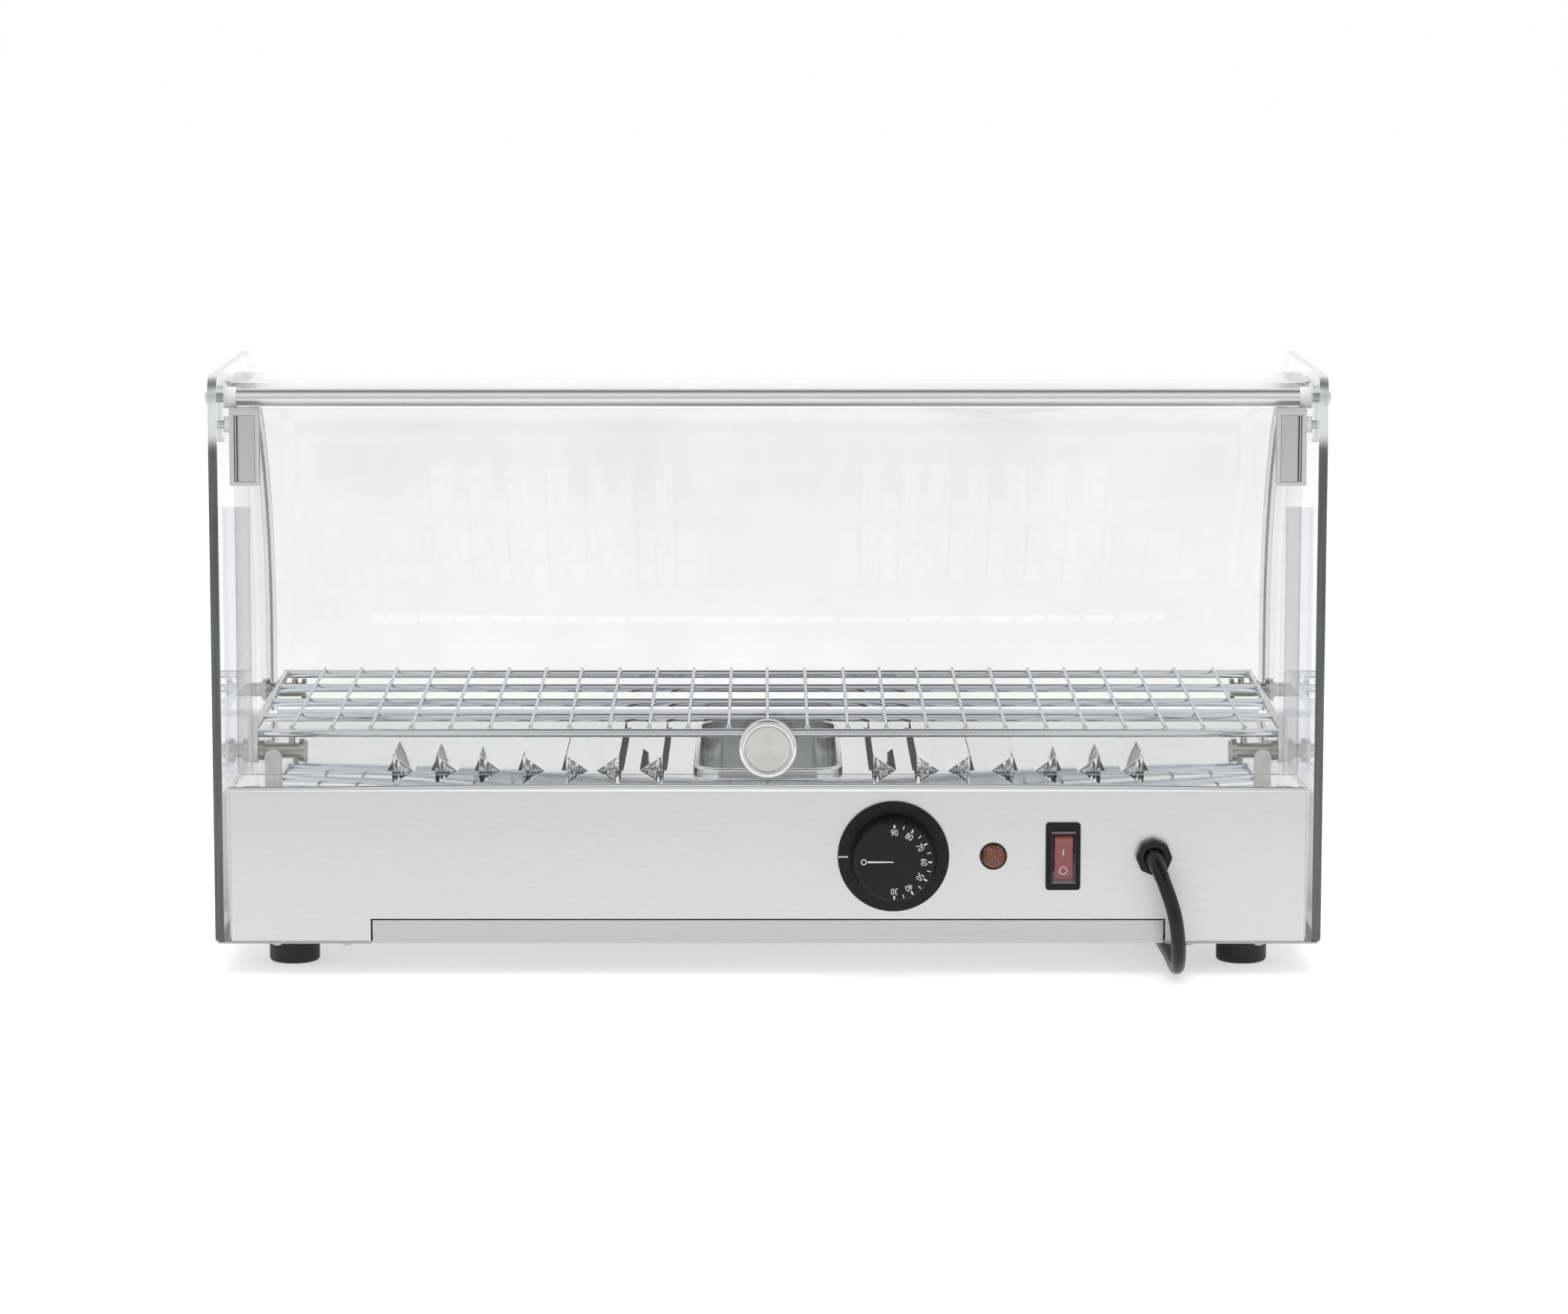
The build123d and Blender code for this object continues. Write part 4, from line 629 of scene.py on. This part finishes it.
def on_rocker(flat):
    """Fold flat points over the valley, tilt them about the rocker's axis and put them there."""
    y = -ROCKER_DEPTH - np.abs(flat[:, 1]) * math.tan(ROCKER_TILT) - PRINT_GAP
    z = flat[:, 1]
    c, s = math.cos(ROCKER_TILT), math.sin(ROCKER_TILT)
    return np.stack([flat[:, 0] + ROCKER_X, ROCKER_AXIS_Y + y * c - z * s,
                     CONTROL_Z + y * s + z * c], 1) * MM


line, line_faces = bar(-0.38, 0.38, 2.0, 2.0)
ring, ring_faces = hoop(0.0, -7.0, 1.75, 2.3)
rocker_print = piece("rocker_print", [(on_rocker(line + (0.0, 3.6)), line_faces),
                                      (on_rocker(ring), ring_faces)], "rocker", smooth=False)

# %% [markdown]
# ## The lamp's lens
#
# A pilot lamp has a moulded lens with small dimples inside and out, so that one small lamp
# lights the whole lens. The dome is a grid of rings round its middle. Its height is a low
# sphere, less a pattern of dimples from three waves that cross at 60 degrees.

# %% Lamp lens
LAMP_X, LAMP_FACE = 126.3, -144.2
LENS_R, LENS_H, DIMPLE_PITCH, DIMPLE, PLAIN_RIM = 6.6, 3.0, 1.35, 0.22, 0.8
ring_r = np.linspace(0.0, 1.0, 64)[:, None] * LENS_R
ring_a = round_angles(128)[None, :]
u, v = ring_r * np.cos(ring_a), ring_r * np.sin(ring_a)
ball = (LENS_R ** 2 + LENS_H ** 2) / (2 * LENS_H)
height = np.sqrt(ball ** 2 - ring_r ** 2) - (ball - LENS_H)
waves = sum(np.cos(2 * math.pi / DIMPLE_PITCH * (u * math.cos(a) + v * math.sin(a)))
            for a in (0.3, 0.3 + math.pi / 3, 0.3 + 2 * math.pi / 3))
height = height - DIMPLE * (waves / 3) * np.clip((LENS_R - ring_r) / PLAIN_RIM, 0, 1)
lens_points = grid(LAMP_X + u, LAMP_FACE - height, CONTROL_Z + v) * MM
lamp_lens = piece("lamp_lens_cut", [(lens_points, quads(64, 128, close_columns=True))], "case")
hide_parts("lamp_lens")

# %% [markdown]
# ## Polished edges of the side glasses
#
# Sheet glass is clear through its face, but through its polished edge you look along the whole
# pane and see a dark grey line, and that line is painted here as shade. The band is painted dark
# where the edge faces the operator, and painted pale, as light, behind the clear hinge plates,
# where light leaks in. A thin band follows the outline of the glass: two straight sides, and an
# arc of 187 mm that joins them. Each point of the band carries a painted tone, from 0 where the
# edge is painted pale to 1 where it is painted dark, for its finish to read.

# %% Glass edges
REAR, FRONT, FOOT, TOP = -145.5, 162.5, 19.0, 337.5
ARC_R, ARC_Y, ARC_Z = 187.0, -24.5, 163.5
PANE_IN, PANE_OUT, BEVEL, EDGE_GAP = 305.0, 310.0, 0.35, 0.04
LEAK_LOW, LEAK_HIGH = 297.0, 332.0
REAR_BEND, SHOULDER_BEND, FOOT_BEND = 9.0, 17.0, 4.0


def bend(corner, before, after, radius, count=9):
    """Points of a rounded corner: they leave the first side and meet the second one."""
    corner, before, after = (np.asarray(p, float) for p in (corner, before, after))
    a, b = before - corner, after - corner
    a, b = a / np.linalg.norm(a), b / np.linalg.norm(b)
    half = math.acos(np.clip(a @ b, -1, 1)) / 2
    middle = corner + (a + b) / np.linalg.norm(a + b) * radius / math.sin(half)
    first, last = corner + a * radius / math.tan(half), corner + b * radius / math.tan(half)
    t = np.linspace(0, 1, count)[:, None]
    way = (first - middle) * (1 - t) + (last - middle) * t
    return middle + way / np.linalg.norm(way, axis=1)[:, None] * radius


shoulder = math.asin((TOP - ARC_Z) / ARC_R)
shoulder_y = ARC_Y + ARC_R * math.cos(shoulder)
arc_angle = np.linspace(shoulder - 0.1, 0.0, 60)[:, None]
arc = np.concatenate([ARC_Y + ARC_R * np.cos(arc_angle), ARC_Z + ARC_R * np.sin(arc_angle)], 1)
rear_side = np.stack([np.full(90, REAR),
                      np.linspace(FOOT + FOOT_BEND, TOP - REAR_BEND, 90)], 1)
outline = np.concatenate([
    rear_side, bend((REAR, TOP), (REAR, FOOT), (0, TOP), REAR_BEND),
    bend((shoulder_y, TOP), (0, TOP), arc[0], SHOULDER_BEND), arc,
    bend((FRONT, FOOT), (FRONT, TOP), (REAR, FOOT), FOOT_BEND),
    bend((REAR, FOOT), (FRONT, FOOT), (REAR, TOP), FOOT_BEND)])
away = np.roll(outline, -1, 0) - np.roll(outline, 1, 0)
away = np.stack([-away[:, 1], away[:, 0]], 1) / np.linalg.norm(away, axis=1)[:, None]
outline = outline + away * EDGE_GAP
# Painted shade along the rear edge, lifted to painted light where light leaks in behind the hinge
# plates.
rear_painted_shade = np.clip((REAR + 5.0 - outline[:, 0]) / 4.0, 0, 1)
leak = (np.clip((outline[:, 1] - LEAK_LOW) / 8.0, 0, 1)
        * np.clip((LEAK_HIGH - outline[:, 1]) / 4.0, 0, 1))
tone = rear_painted_shade * (1 - leak)


def edge_band(name, side):
    """The outline carried across the thickness of one side glass; its painted tone of light and
    shade goes in as an attribute.
    """
    across = side * np.array([PANE_IN, PANE_IN + BEVEL, PANE_OUT - BEVEL, PANE_OUT])
    inset = np.array([BEVEL, 0.0, 0.0, BEVEL])
    loop = outline[None, :, :] - away[None, :, :] * inset[:, None, None]
    points = np.concatenate([np.broadcast_to(across[:, None, None], (4, len(outline), 1)), loop], 2)
    band = piece(name, [(points * MM, quads(4, len(outline), close_columns=True))], "case",
                 flip=side < 0)
    shade = band.data.attributes.new("tone", "FLOAT", "POINT")
    shade.data.foreach_set("value", np.tile(tone, 4))
    return band


edge_right = edge_band("glass_edge_right", 1)
edge_left = edge_band("glass_edge_left", -1)

# %% [markdown]
# ## Metal finishes
#
# Three stainless finishes meet here. The base is brushed: an abrasive belt leaves fine
# scratches along the sheet, so it reads as soft grey with thin level streaks. The deck is
# mirror-polished, and the pan is as the press left it. The rack is bright chrome over wire.
# Drawn aluminium is satin along its length, turned pins show fine rings, zinc is pale and even,
# plated or cast, mill sheet is plain grey, the heater's sheath is browned by heat, copper is
# soft and pink, and nickel plate is smooth and warm. The grain of a metal has a real size, and
# may be stretched the way it was rolled or turned. Metals keep Blender's default index of
# refraction, and only their colour and roughness differ. Two finishes are not pure metal: the
# sand-textured inlays, and the louvers' undersides, which are painted nearly black as painted
# shade for the closed, unlit inside of the base.

# %% Metal materials
EVEN = (1, 1, 1)
METALS = [  # name, two tones, grain in mm and its stretch, roughness, its spread, bump in mm
    ("brushed_stainless_304", "#cbcbcc", "#dddddd", 0.45, (18, 18, 1), 0.36, 0.05, 0.004,
     ["base_housing"]),
    ("brushed_stainless_drawer", "#b3b2b2", "#c5c4c4", 0.6, (60, 1, 1), 0.28, 0.05, 0.003,
     ["crumb_drawer"]),
    ("mirror_stainless_304", "#ecedee", "#f1f2f3", 40.0, EVEN, 0.035, 0.01, 0.02, [deck]),
    ("pressed_stainless_304", "#d2d3d4", "#dcdddd", 6.0, EVEN, 0.13, 0.03, 0.004, ["water_pan"]),
    ("bright_chrome_plate", "#cfd3d7", "#d7dade", 9.0, EVEN, 0.04, 0.01, 0.0, [rack]),
    ("satin_drawn_aluminium", "#e6e6e6", "#efefef", 0.5, (30, 1, 1), 0.4, 0.04, 0.0,
     ["tie_tube"]),
    ("turned_free_cutting_steel", "#a8a6a3", "#bcbab7", 0.3, (1, 6, 6), 0.3, 0.06, 0.0,
     ["rack_pins_near", "rack_pins_far"]),
    ("zinc_plated_screw", "#b9bcbe", "#cdd0d2", 1.0, EVEN, 0.26, 0.06, 0.0,
     ["bottom_screws", "foot_screws", "tie_screws", "clamp_screws", "knob_screw",
      "bezel_screws", "thermostat_shaft", "thermostat_body"]),
    ("mill_finish_sheet", "#a9a9a8", "#b7b7b6", 2.0, (20, 1, 1), 0.42, 0.06, 0.0,
     ["bottom_plate", "drawer_runners", "heater_brackets"]),
    ("cast_zinc_bright", "#e6e6e6", "#f0f0f0", 0.8, EVEN, 0.3, 0.06, 0.01,
     ["hinge_clamp_right", "hinge_clamp_left"]),
    ("heat_tinted_sheath", "#5e564f", "#7b7168", 5.0, EVEN, 0.45, 0.08, 0.0,
     ["heater_element"]),
    ("drawn_copper", "#b87352", "#c98764", 2.0, EVEN, 0.3, 0.1, 0.0, ["capillary_bulb"]),
    ("nickel_plated_brass", "#c9c7bf", "#d8d6ce", 2.0, EVEN, 0.18, 0.05, 0.0, ["plug_pins"])]
for name, tone, other, size_mm, stretch, roughness, spread, bump, targets in METALS:
    dress(grained(name, tone, other, size_mm, stretch, 1.0, roughness, spread, bump), *targets)
dress(grained("sand_textured_zinc", "#a3a4a5", "#e6e6e7", 0.6, metallic=0.55, roughness=0.5,
              spread=0.12, bump=0.05), *inlays)
# The louvers' undersides are painted nearly black: painted shade for the dark inside of the base.
dress(grained("louver_underside_painted_shade", "#0f0e0e", "#1a1918", 3.0, roughness=0.75, spread=0.05,
              **{"Specular IOR Level": 0.12}), louver_undersides)

# %% [markdown]
# ## The knob's two finishes
#
# The rim is polished on the lathe. The face keeps the tool's rings, 0.35 mm apart, and they
# spread a highlight only across themselves: that is anisotropy, with its direction running
# round the knob's axis. The mesh carries both materials, and a face takes the second one where
# its middle is near the axis.

# %% Knob finishes
RING_PITCH = 0.35
dress(grained("polished_stainless_rim", "#d0d0cf", "#dcdcdb", 2.0, metallic=1.0,
              roughness=0.16, spread=0.03), knob)
spun_face, tree, place = start("spun_stainless_face")
centred = add(tree, "Mapping", {"Vector": place, "Location": (0, 0, -KNOB_Z * MM)})
rings = add(tree, "TexWave", {"Vector": centred, "Scale": math.pi / 10 / (RING_PITCH * MM),
                              "Distortion": 1.5, "Detail": 2.0}, wave_type="RINGS",
            rings_direction="Y")
tone = add(tree, "Mix", {"Factor": rings.outputs["Fac"], "A": linear("#c4c3c2"),
                         "B": linear("#dadad9")}, data_type="RGBA")
bump = add(tree, "Bump", {"Height": rings.outputs["Fac"], "Strength": 1.0, "Distance": 0.004 * MM})
spin = add(tree, "Tangent", direction_type="RADIAL", axis="Y")
steel = add(tree, "BsdfPrincipled", {"Base Color": tone, "Metallic": 1.0, "Roughness": 0.3,
                                     "Anisotropic": 0.8, "Anisotropic Rotation": 0.25,
                                     "Normal": bump, "Tangent": spin})
add(tree, "OutputMaterial", {"Surface": steel})
knob.data.materials.append(spun_face)
middle = rows_of(knob.data.polygons, "center") / MM
on_dish = (np.hypot(middle[:, 0], middle[:, 2] - KNOB_Z) < DISH_R) & (middle[:, 1] < DISH_Y)
knob.data.polygons.foreach_set("material_index", on_dish.astype(int))
print(spun_face.name, "on", int(on_dish.sum()), "faces of the knob")

# %% [markdown]
# ## Plastics and rubber
#
# The black parts are not one black: the thermostat's surround and the switch frame are glossy
# ABS, the dial is a duller nylon, the feet are matt rubber and the lead is smooth PVC. The
# white clips are milky nylon, a little warm. Prints are flat white paint, the inner leads'
# silicone sleeves are dull beige, and the rocker is deep red polycarbonate with a soft gloss.

# %% Plastic materials
PLASTICS = [  # name, two tones, grain in mm, roughness, its spread, bump in mm, index, gloss
    ("black_abs_moulded", "#0f1011", "#151617", 0.5, 0.34, 0.05, 0.004, 1.54, 0.22,
     ["thermostat_bezel", "switch_frame", "lamp_body"]),
    ("black_nylon_dial", "#111213", "#171819", 0.35, 0.46, 0.06, 0.008, 1.53, 0.25,
     ["thermostat_dial"]),
    # The clamps' groove strips take this black as painted shade.
    ("black_rubber_foot", "#141414", "#1e1d1c", 0.8, 0.55, 0.1, 0.02, 1.52, 0.5,
     ["rubber_feet", *groove_shade_strips]),
    ("black_pvc_sheath", "#0c0d0e", "#121315", 0.6, 0.34, 0.06, 0.006, 1.53, 0.3,
     ["cord_gland", "gland_nut", "plug_body", mains_lead, lead_boot]),
    ("milky_nylon_66", "#f6f5f3", "#fcfcfb", 2.0, 0.38, 0.05, 0.0, 1.53, 0.5,
     ["tube_collars", "rack_clips", "hinge_washers", "terminal_block"]),
    ("silicone_wire_sleeve", "#c8beb0", "#d6cdbf", 1.0, 0.5, 0.1, 0.0, 1.5, 0.5,
     ["inner_leads"]),
    ("white_pad_print", "#e9eaea", "#f3f4f4", 0.5, 0.5, 0.1, 0.0, 1.5, 0.5,
     [dial_print, bezel_print, rocker_print]),
    ("red_polycarbonate_rocker", "#8e151b", "#a01b21", 1.0, 0.35, 0.03, 0.0, 1.58, 0.5,
     ["switch_rocker"])]
for name, tone, other, size_mm, roughness, spread, bump, index, gloss, targets in PLASTICS:
    dress(grained(name, tone, other, size_mm, EVEN, 0.0, roughness, spread, bump,
                  **{"IOR": index, "Specular IOR Level": gloss}), *targets)

# %% [markdown]
# ## Glass and clear plastics
#
# Sheet glass bends a straight view by only a millimetre or two, so it is made as a film: what
# is behind it shows straight through with a faint tint, and each face mirrors a share of the
# light, 4% seen square on and more at a slant, as Schlick's rule says. A cut edge is different:
# it looks milky or dark, since you look along the sheet, so a body colour covers it, painted
# light and painted shade in place of what the edge would bend and mirror. The edge is found by
# the direction that the surface faces, or by its place. Acrylic has pale edges, PVC is bluish
# and a little milky, the seal shows pale folds with thin lines of painted shade, and the
# silicone stops are cloudy.

# %% Clear materials
def speckled(colour, second, size_mm):
    """A body colour that drifts between two tones."""
    def body(tree):
        place = add(tree, "TexCoord").outputs["Object"]
        grain = add(tree, "TexNoise", {"Vector": place, "Scale": per_mm(size_mm)})
        return add(tree, "Mix", {"Factor": grain, "A": linear(colour), "B": linear(second)},
                   data_type="RGBA")
    return body


def see_through(name, tint, body, cover, mirror, roughness):
    """A clear finish. Its mirrored share is mirror + (1 - mirror) * (1 - cos)^5. body adds the
    nodes of the body colour, and cover those of the share of the view that the colour hides."""
    material, tree, _ = start(name)
    clear = add(tree, "BsdfTransparent", {"Color": speckled(tint, "#fdfdfd", 90.0)(tree)})
    solid = add(tree, "BsdfPrincipled", {"Base Color": body(tree), "IOR": 1.5, "Roughness": 0.25})
    through = add(tree, "MixShader", {"Fac": cover(tree), 1: clear, 2: solid})
    slant = add(tree, "LayerWeight", {"Blend": 0.5})
    steep = add(tree, "Math", {0: slant.outputs["Facing"], 1: 5.0}, operation="POWER")
    share = add(tree, "MapRange", {"Value": steep, "To Min": mirror, "To Max": 1.0})
    shine = add(tree, "BsdfPrincipled", {"Base Color": linear("#ffffff"), "Metallic": 1.0,
                                         "Roughness": roughness})
    whole = add(tree, "MixShader", {"Fac": share, 1: through, 2: shine})
    add(tree, "OutputMaterial", {"Surface": whole})
    return material


def size_of(tree, coordinate, axis):
    """How large one part of a place or a direction is, whatever its sign."""
    whole = add(tree, "TexCoord").outputs[coordinate]
    part = add(tree, "SeparateXYZ", {"Vector": whole}).outputs[axis]
    return add(tree, "Math", {0: part}, operation="ABSOLUTE")


def facing(axis, strength, rest=0.0):
    """Cover by direction: strength where the surface looks along that axis, else rest."""
    def cover(tree):
        return add(tree, "MapRange", {"Value": size_of(tree, "Normal", axis), "From Min": 0.5,
                                      "From Max": 0.7, "To Min": rest, "To Max": strength})
    return cover


def beyond(x_mm, strength, rest):
    """Cover by place: strength further than x_mm from the middle, else rest."""
    def cover(tree):
        far = add(tree, "Math", {0: size_of(tree, "Object", 0), 1: x_mm * MM},
                  operation="GREATER_THAN")
        return add(tree, "MapRange", {"Value": far, "To Min": rest, "To Max": strength})
    return cover


# The seal's thin darker lines are painted shade at its folds.
SEAL_X0, SEAL_X1 = 288.5, 304.5
SEAL_FOLD_SHADE = [(0.0, "#b4bac4"), (0.07, "#ffffff"), (0.44, "#fbfcfe"), (0.5, "#c9d0da"),
              (0.56, "#ffffff"), (0.8, "#f8f9fc"), (0.88, "#aeb5c0"), (0.95, "#fcfdfe")]


def painted_fold_shade(tree):
    """The seal's colour across its width: pale, with thin lines of painted shade at its folds."""
    across = add(tree, "MapRange", {"Value": size_of(tree, "Object", 0), "From Min": SEAL_X0 * MM,
                                    "From Max": SEAL_X1 * MM})
    ramp = add(tree, "ValToRGB", {"Fac": across})
    for at, _ in SEAL_FOLD_SHADE[1:-1]:
        ramp.color_ramp.elements.new(at)
    for element, (at, colour) in zip(ramp.color_ramp.elements, SEAL_FOLD_SHADE):
        element.position = at
        element.color = linear(colour)
    return ramp


# The body colours that cover the cut edges are painted light and shade, for what the edges bend and
# mirror.
CLEAR = [  # name, tint, body colour, cover, mirrored share, roughness
    ("toughened_float_glass", "#fafafa", speckled("#8f9493", "#abafae", 20.0),
     facing(1, 0.0), 0.04, 0.0, ["side_glass_right", "side_glass_left"]),
    ("toughened_door_glass", "#f4f4f4", speckled("#919796", "#b6bab9", 12.0),
     facing(1, 0.0, 0.55), 0.04, 0.0, ["door_glass"]),
    ("slumped_float_glass", "#f6f6f6", speckled("#4c5150", "#8b9090", 30.0),
     facing(0, 0.8), 0.04, 0.0, ["front_glass"]),
    ("clear_pane_bead", "#fafbfb", speckled("#5d6261", "#9aa09e", 14.0),
     beyond(304.4, 0.7, 0.06), 0.04, 0.0, ["pane_beads"]),
    ("cast_acrylic", "#fbfcfc", speckled("#c9cfce", "#e3e7e6", 6.0),
     facing(1, 0.12, 0.4), 0.04, 0.0, ["hinge_plates"]),
    ("clear_pvc_profile", "#f4f6fa", speckled("#dfe3ec", "#eef0f5", 8.0),
     facing(2, 0.35, 0.35), 0.04, 0.1, ["sill_strip", "side_bonds"]),
    ("ribbed_pvc_seal", "#fbfbfd", painted_fold_shade,
     facing(2, 0.4, 0.2), 0.04, 0.12, ["door_seal_right", "door_seal_left"]),
    ("clear_switch_cap", "#f6f3f3", speckled("#e4e1e1", "#f4f2f2", 3.0),
     facing(1, 0.0, 0.6), 0.03, 0.05, ["switch_cover"]),
    ("milky_silicone_stop", "#f1f1ee", speckled("#e6e5e1", "#f4f3f0", 5.0),
     facing(2, 0.6, 0.6), 0.04, 0.3, ["door_stops"])]
for name, tint, body, cover, mirror, roughness, targets in CLEAR:
    dress(see_through(name, tint, body, cover, mirror, roughness), *targets)

# %% [markdown]
# ## The lens and the glass edges
#
# The lens is amber acrylic: each dimple has a painted highlight in its middle and painted shade
# towards the next one, which is what a Voronoi pattern's distance gives. A glass edge reads its
# painted tone from the band's attribute: painted shade with long streaks where the tone is 1,
# painted pale as light and partly clear where it is 0.

# %% Lens and edge materials
DIMPLE_SPOT = 1.3
amber_lens, tree, place = start("amber_acrylic_lens")
cells = add(tree, "TexVoronoi", {"Vector": place, "Scale": per_mm(DIMPLE_SPOT)})
# Painted highlight in each dimple's middle, painted shade towards the next dimple.
dimple_painted_light = add(tree, "MapRange", {"Value": cells, "From Max": 0.6})
amber = add(tree, "Mix", {"Factor": dimple_painted_light, "A": linear("#b06c3c"), "B": linear("#5c270d")},
            data_type="RGBA")
lens = add(tree, "BsdfPrincipled", {"Base Color": amber, "Roughness": 0.2, "IOR": 1.49,
                                    "Coat Weight": 0.5})
add(tree, "OutputMaterial", {"Surface": lens})
dress(amber_lens, lamp_lens)

glass_edge, tree, place = start("polished_glass_edge")
# The edge's colour is painted: dark streaks as painted shade, pale as painted light.
shade = add(tree, "Attribute", attribute_name="tone")
streak = add(tree, "Mapping", {"Vector": place, "Scale": (6.0, 1.0, 0.12)})
drift = add(tree, "TexNoise", {"Vector": streak, "Scale": per_mm(6.0), "Detail": 2.0})
dark = add(tree, "Mix", {"Factor": drift, "A": linear("#2b2d2f"), "B": linear("#7b7f81")},
           data_type="RGBA")
edge_painted_light_and_shade = add(tree, "Mix", {"Factor": shade.outputs["Fac"], "A": linear("#dfe3e2"), "B": dark},
                data_type="RGBA")
cover = add(tree, "MapRange", {"Value": shade.outputs["Fac"], "To Min": 0.72, "To Max": 1.0})
body = add(tree, "BsdfPrincipled", {"Base Color": edge_painted_light_and_shade, "Roughness": 0.12, "IOR": 1.52})
gap = add(tree, "BsdfTransparent")
edge = add(tree, "MixShader", {"Fac": cover, 1: gap, 2: body})
add(tree, "OutputMaterial", {"Surface": edge})
dress(glass_edge, edge_right, edge_left)

# %% [markdown]
# ## The floor
#
# The photograph has a white ground with no horizon. The floor is a large pale plane that keeps
# a soft shadow, and its own glow for camera and mirror rays brings it up to white. Towards the
# camera it falls dim, but only for mirror rays, so chrome has something darker to show.

# %% Floor
FLOOR_HALF, FLOOR_DROP, GLOW, DIM_GLOW = 14.0, 0.0003, 0.5, 0.3
DIM_START, DIM_END = -0.5, -1.5
floor_mesh = bpy.data.meshes.new("studio_floor")
floor_mesh.from_pydata([(-FLOOR_HALF, -FLOOR_HALF, 0), (FLOOR_HALF, -FLOOR_HALF, 0),
                        (FLOOR_HALF, FLOOR_HALF, 0), (-FLOOR_HALF, FLOOR_HALF, 0)],
                       [], [(0, 1, 2, 3)])
floor = into_scene("studio_floor", floor_mesh)
floor.location.z = -FLOOR_DROP
floor_white, tree, place = start("studio_floor_white")
path = add(tree, "LightPath")
seen = add(tree, "Math", {0: path.outputs["Is Camera Ray"], 1: path.outputs["Is Glossy Ray"]},
           operation="MAXIMUM")
seen = add(tree, "Math", {0: seen, 1: path.outputs["Is Transmission Ray"]}, operation="MAXIMUM")
depth = add(tree, "SeparateXYZ", {"Vector": place}).outputs[1]
falls_off = add(tree, "MapRange", {"Value": depth, "From Min": DIM_START, "From Max": DIM_END},
                interpolation_type="SMOOTHSTEP")
dim = add(tree, "Math", {0: falls_off, 1: path.outputs["Is Glossy Ray"]}, operation="MULTIPLY")
glow = add(tree, "MapRange", {"Value": dim, "To Min": GLOW, "To Max": DIM_GLOW})
lit = add(tree, "Math", {0: seen, 1: glow}, operation="MULTIPLY")
paint = add(tree, "Mix", {"Factor": dim, "A": linear("#ececec"), "B": linear("#b0b0b0")},
            data_type="RGBA")
matt = add(tree, "BsdfDiffuse", {"Color": paint})
light = add(tree, "Emission", {"Color": linear("#ffffff"), "Strength": lit})
ground = add(tree, "AddShader", {0: matt, 1: light})
add(tree, "OutputMaterial", {"Surface": ground})
dress(floor_white, floor)

# %% [markdown]
# ## The world
#
# A straight view sees plain white, and matt surfaces get even soft light. For mirror rays the
# world is a studio: white walls, a dark ceiling, and a dim doorway behind the camera, which
# give chrome its grey lines. Each border of the doorway and the ceiling is a soft step in one
# part of the ray's direction.

# %% World
world = bpy.data.worlds.new("soft_studio")
bpy.context.scene.world = world
world.use_nodes = True
tree = world.node_tree
tree.nodes.clear()
way = add(tree, "TexCoord").outputs["Generated"]
split = add(tree, "SeparateXYZ", {"Vector": way})
mask = {}
for border, value, low, high, at_low in (("behind", split.outputs["Y"], -0.85, -0.6, 1),
                                         ("beside", size_of(tree, "Generated", 0), 0.3, 0.5, 1),
                                         ("above", split.outputs["Z"], 0.22, 0.45, 1),
                                         ("ceiling", split.outputs["Z"], 0.84, 0.93, 0)):
    mask[border] = add(tree, "MapRange", {"Value": value, "From Min": low, "From Max": high,
                                          "To Min": at_low, "To Max": 1 - at_low},
                       interpolation_type="SMOOTHSTEP")
doorway = add(tree, "Math", {0: mask["behind"], 1: mask["beside"]}, operation="MULTIPLY")
doorway = add(tree, "Math", {0: doorway, 1: mask["above"]}, operation="MULTIPLY")
walls = add(tree, "Mix", {"Factor": doorway, "A": linear("#ffffff"), "B": linear("#9c9c9c")},
            data_type="RGBA")
studio = add(tree, "Mix", {"Factor": mask["ceiling"], "A": walls, "B": linear("#3f4042")},
             data_type="RGBA")
path = add(tree, "LightPath")
even = add(tree, "Mix", {"Factor": path.outputs["Is Diffuse Ray"], "A": studio,
                         "B": linear("#e2e2e2")}, data_type="RGBA")
seen = add(tree, "Math", {0: path.outputs["Is Camera Ray"], 1: path.outputs["Is Transmission Ray"]},
           operation="MAXIMUM")
final = add(tree, "Mix", {"Factor": seen, "A": even, "B": linear("#ffffff")}, data_type="RGBA")
sky = add(tree, "Background", {"Color": final, "Strength": 1.0})
add(tree, "OutputWorld", {"Surface": sky})
print("world nodes:", len(tree.nodes))

# %% [markdown]
# ## The lamp
#
# One wide lamp hangs above and a little towards the camera, and gives the soft shadow under
# the base. Metal doesn't mirror it: it shows the world there.

# %% Lamp
lamp = bpy.data.lights.new("top_softbox", "AREA")
lamp.shape = "RECTANGLE"
lamp.size, lamp.size_y = 2.4, 1.6
lamp.energy = 14
softbox = into_scene("top_softbox", lamp)
softbox.location = (0.0, -0.4, 2.2)
softbox.rotation_euler = (math.radians(-8), 0.0, 0.0)
softbox.visible_glossy = False
bpy.context.scene.view_settings.view_transform = "Standard"
print("lamp of", lamp.energy, "W")
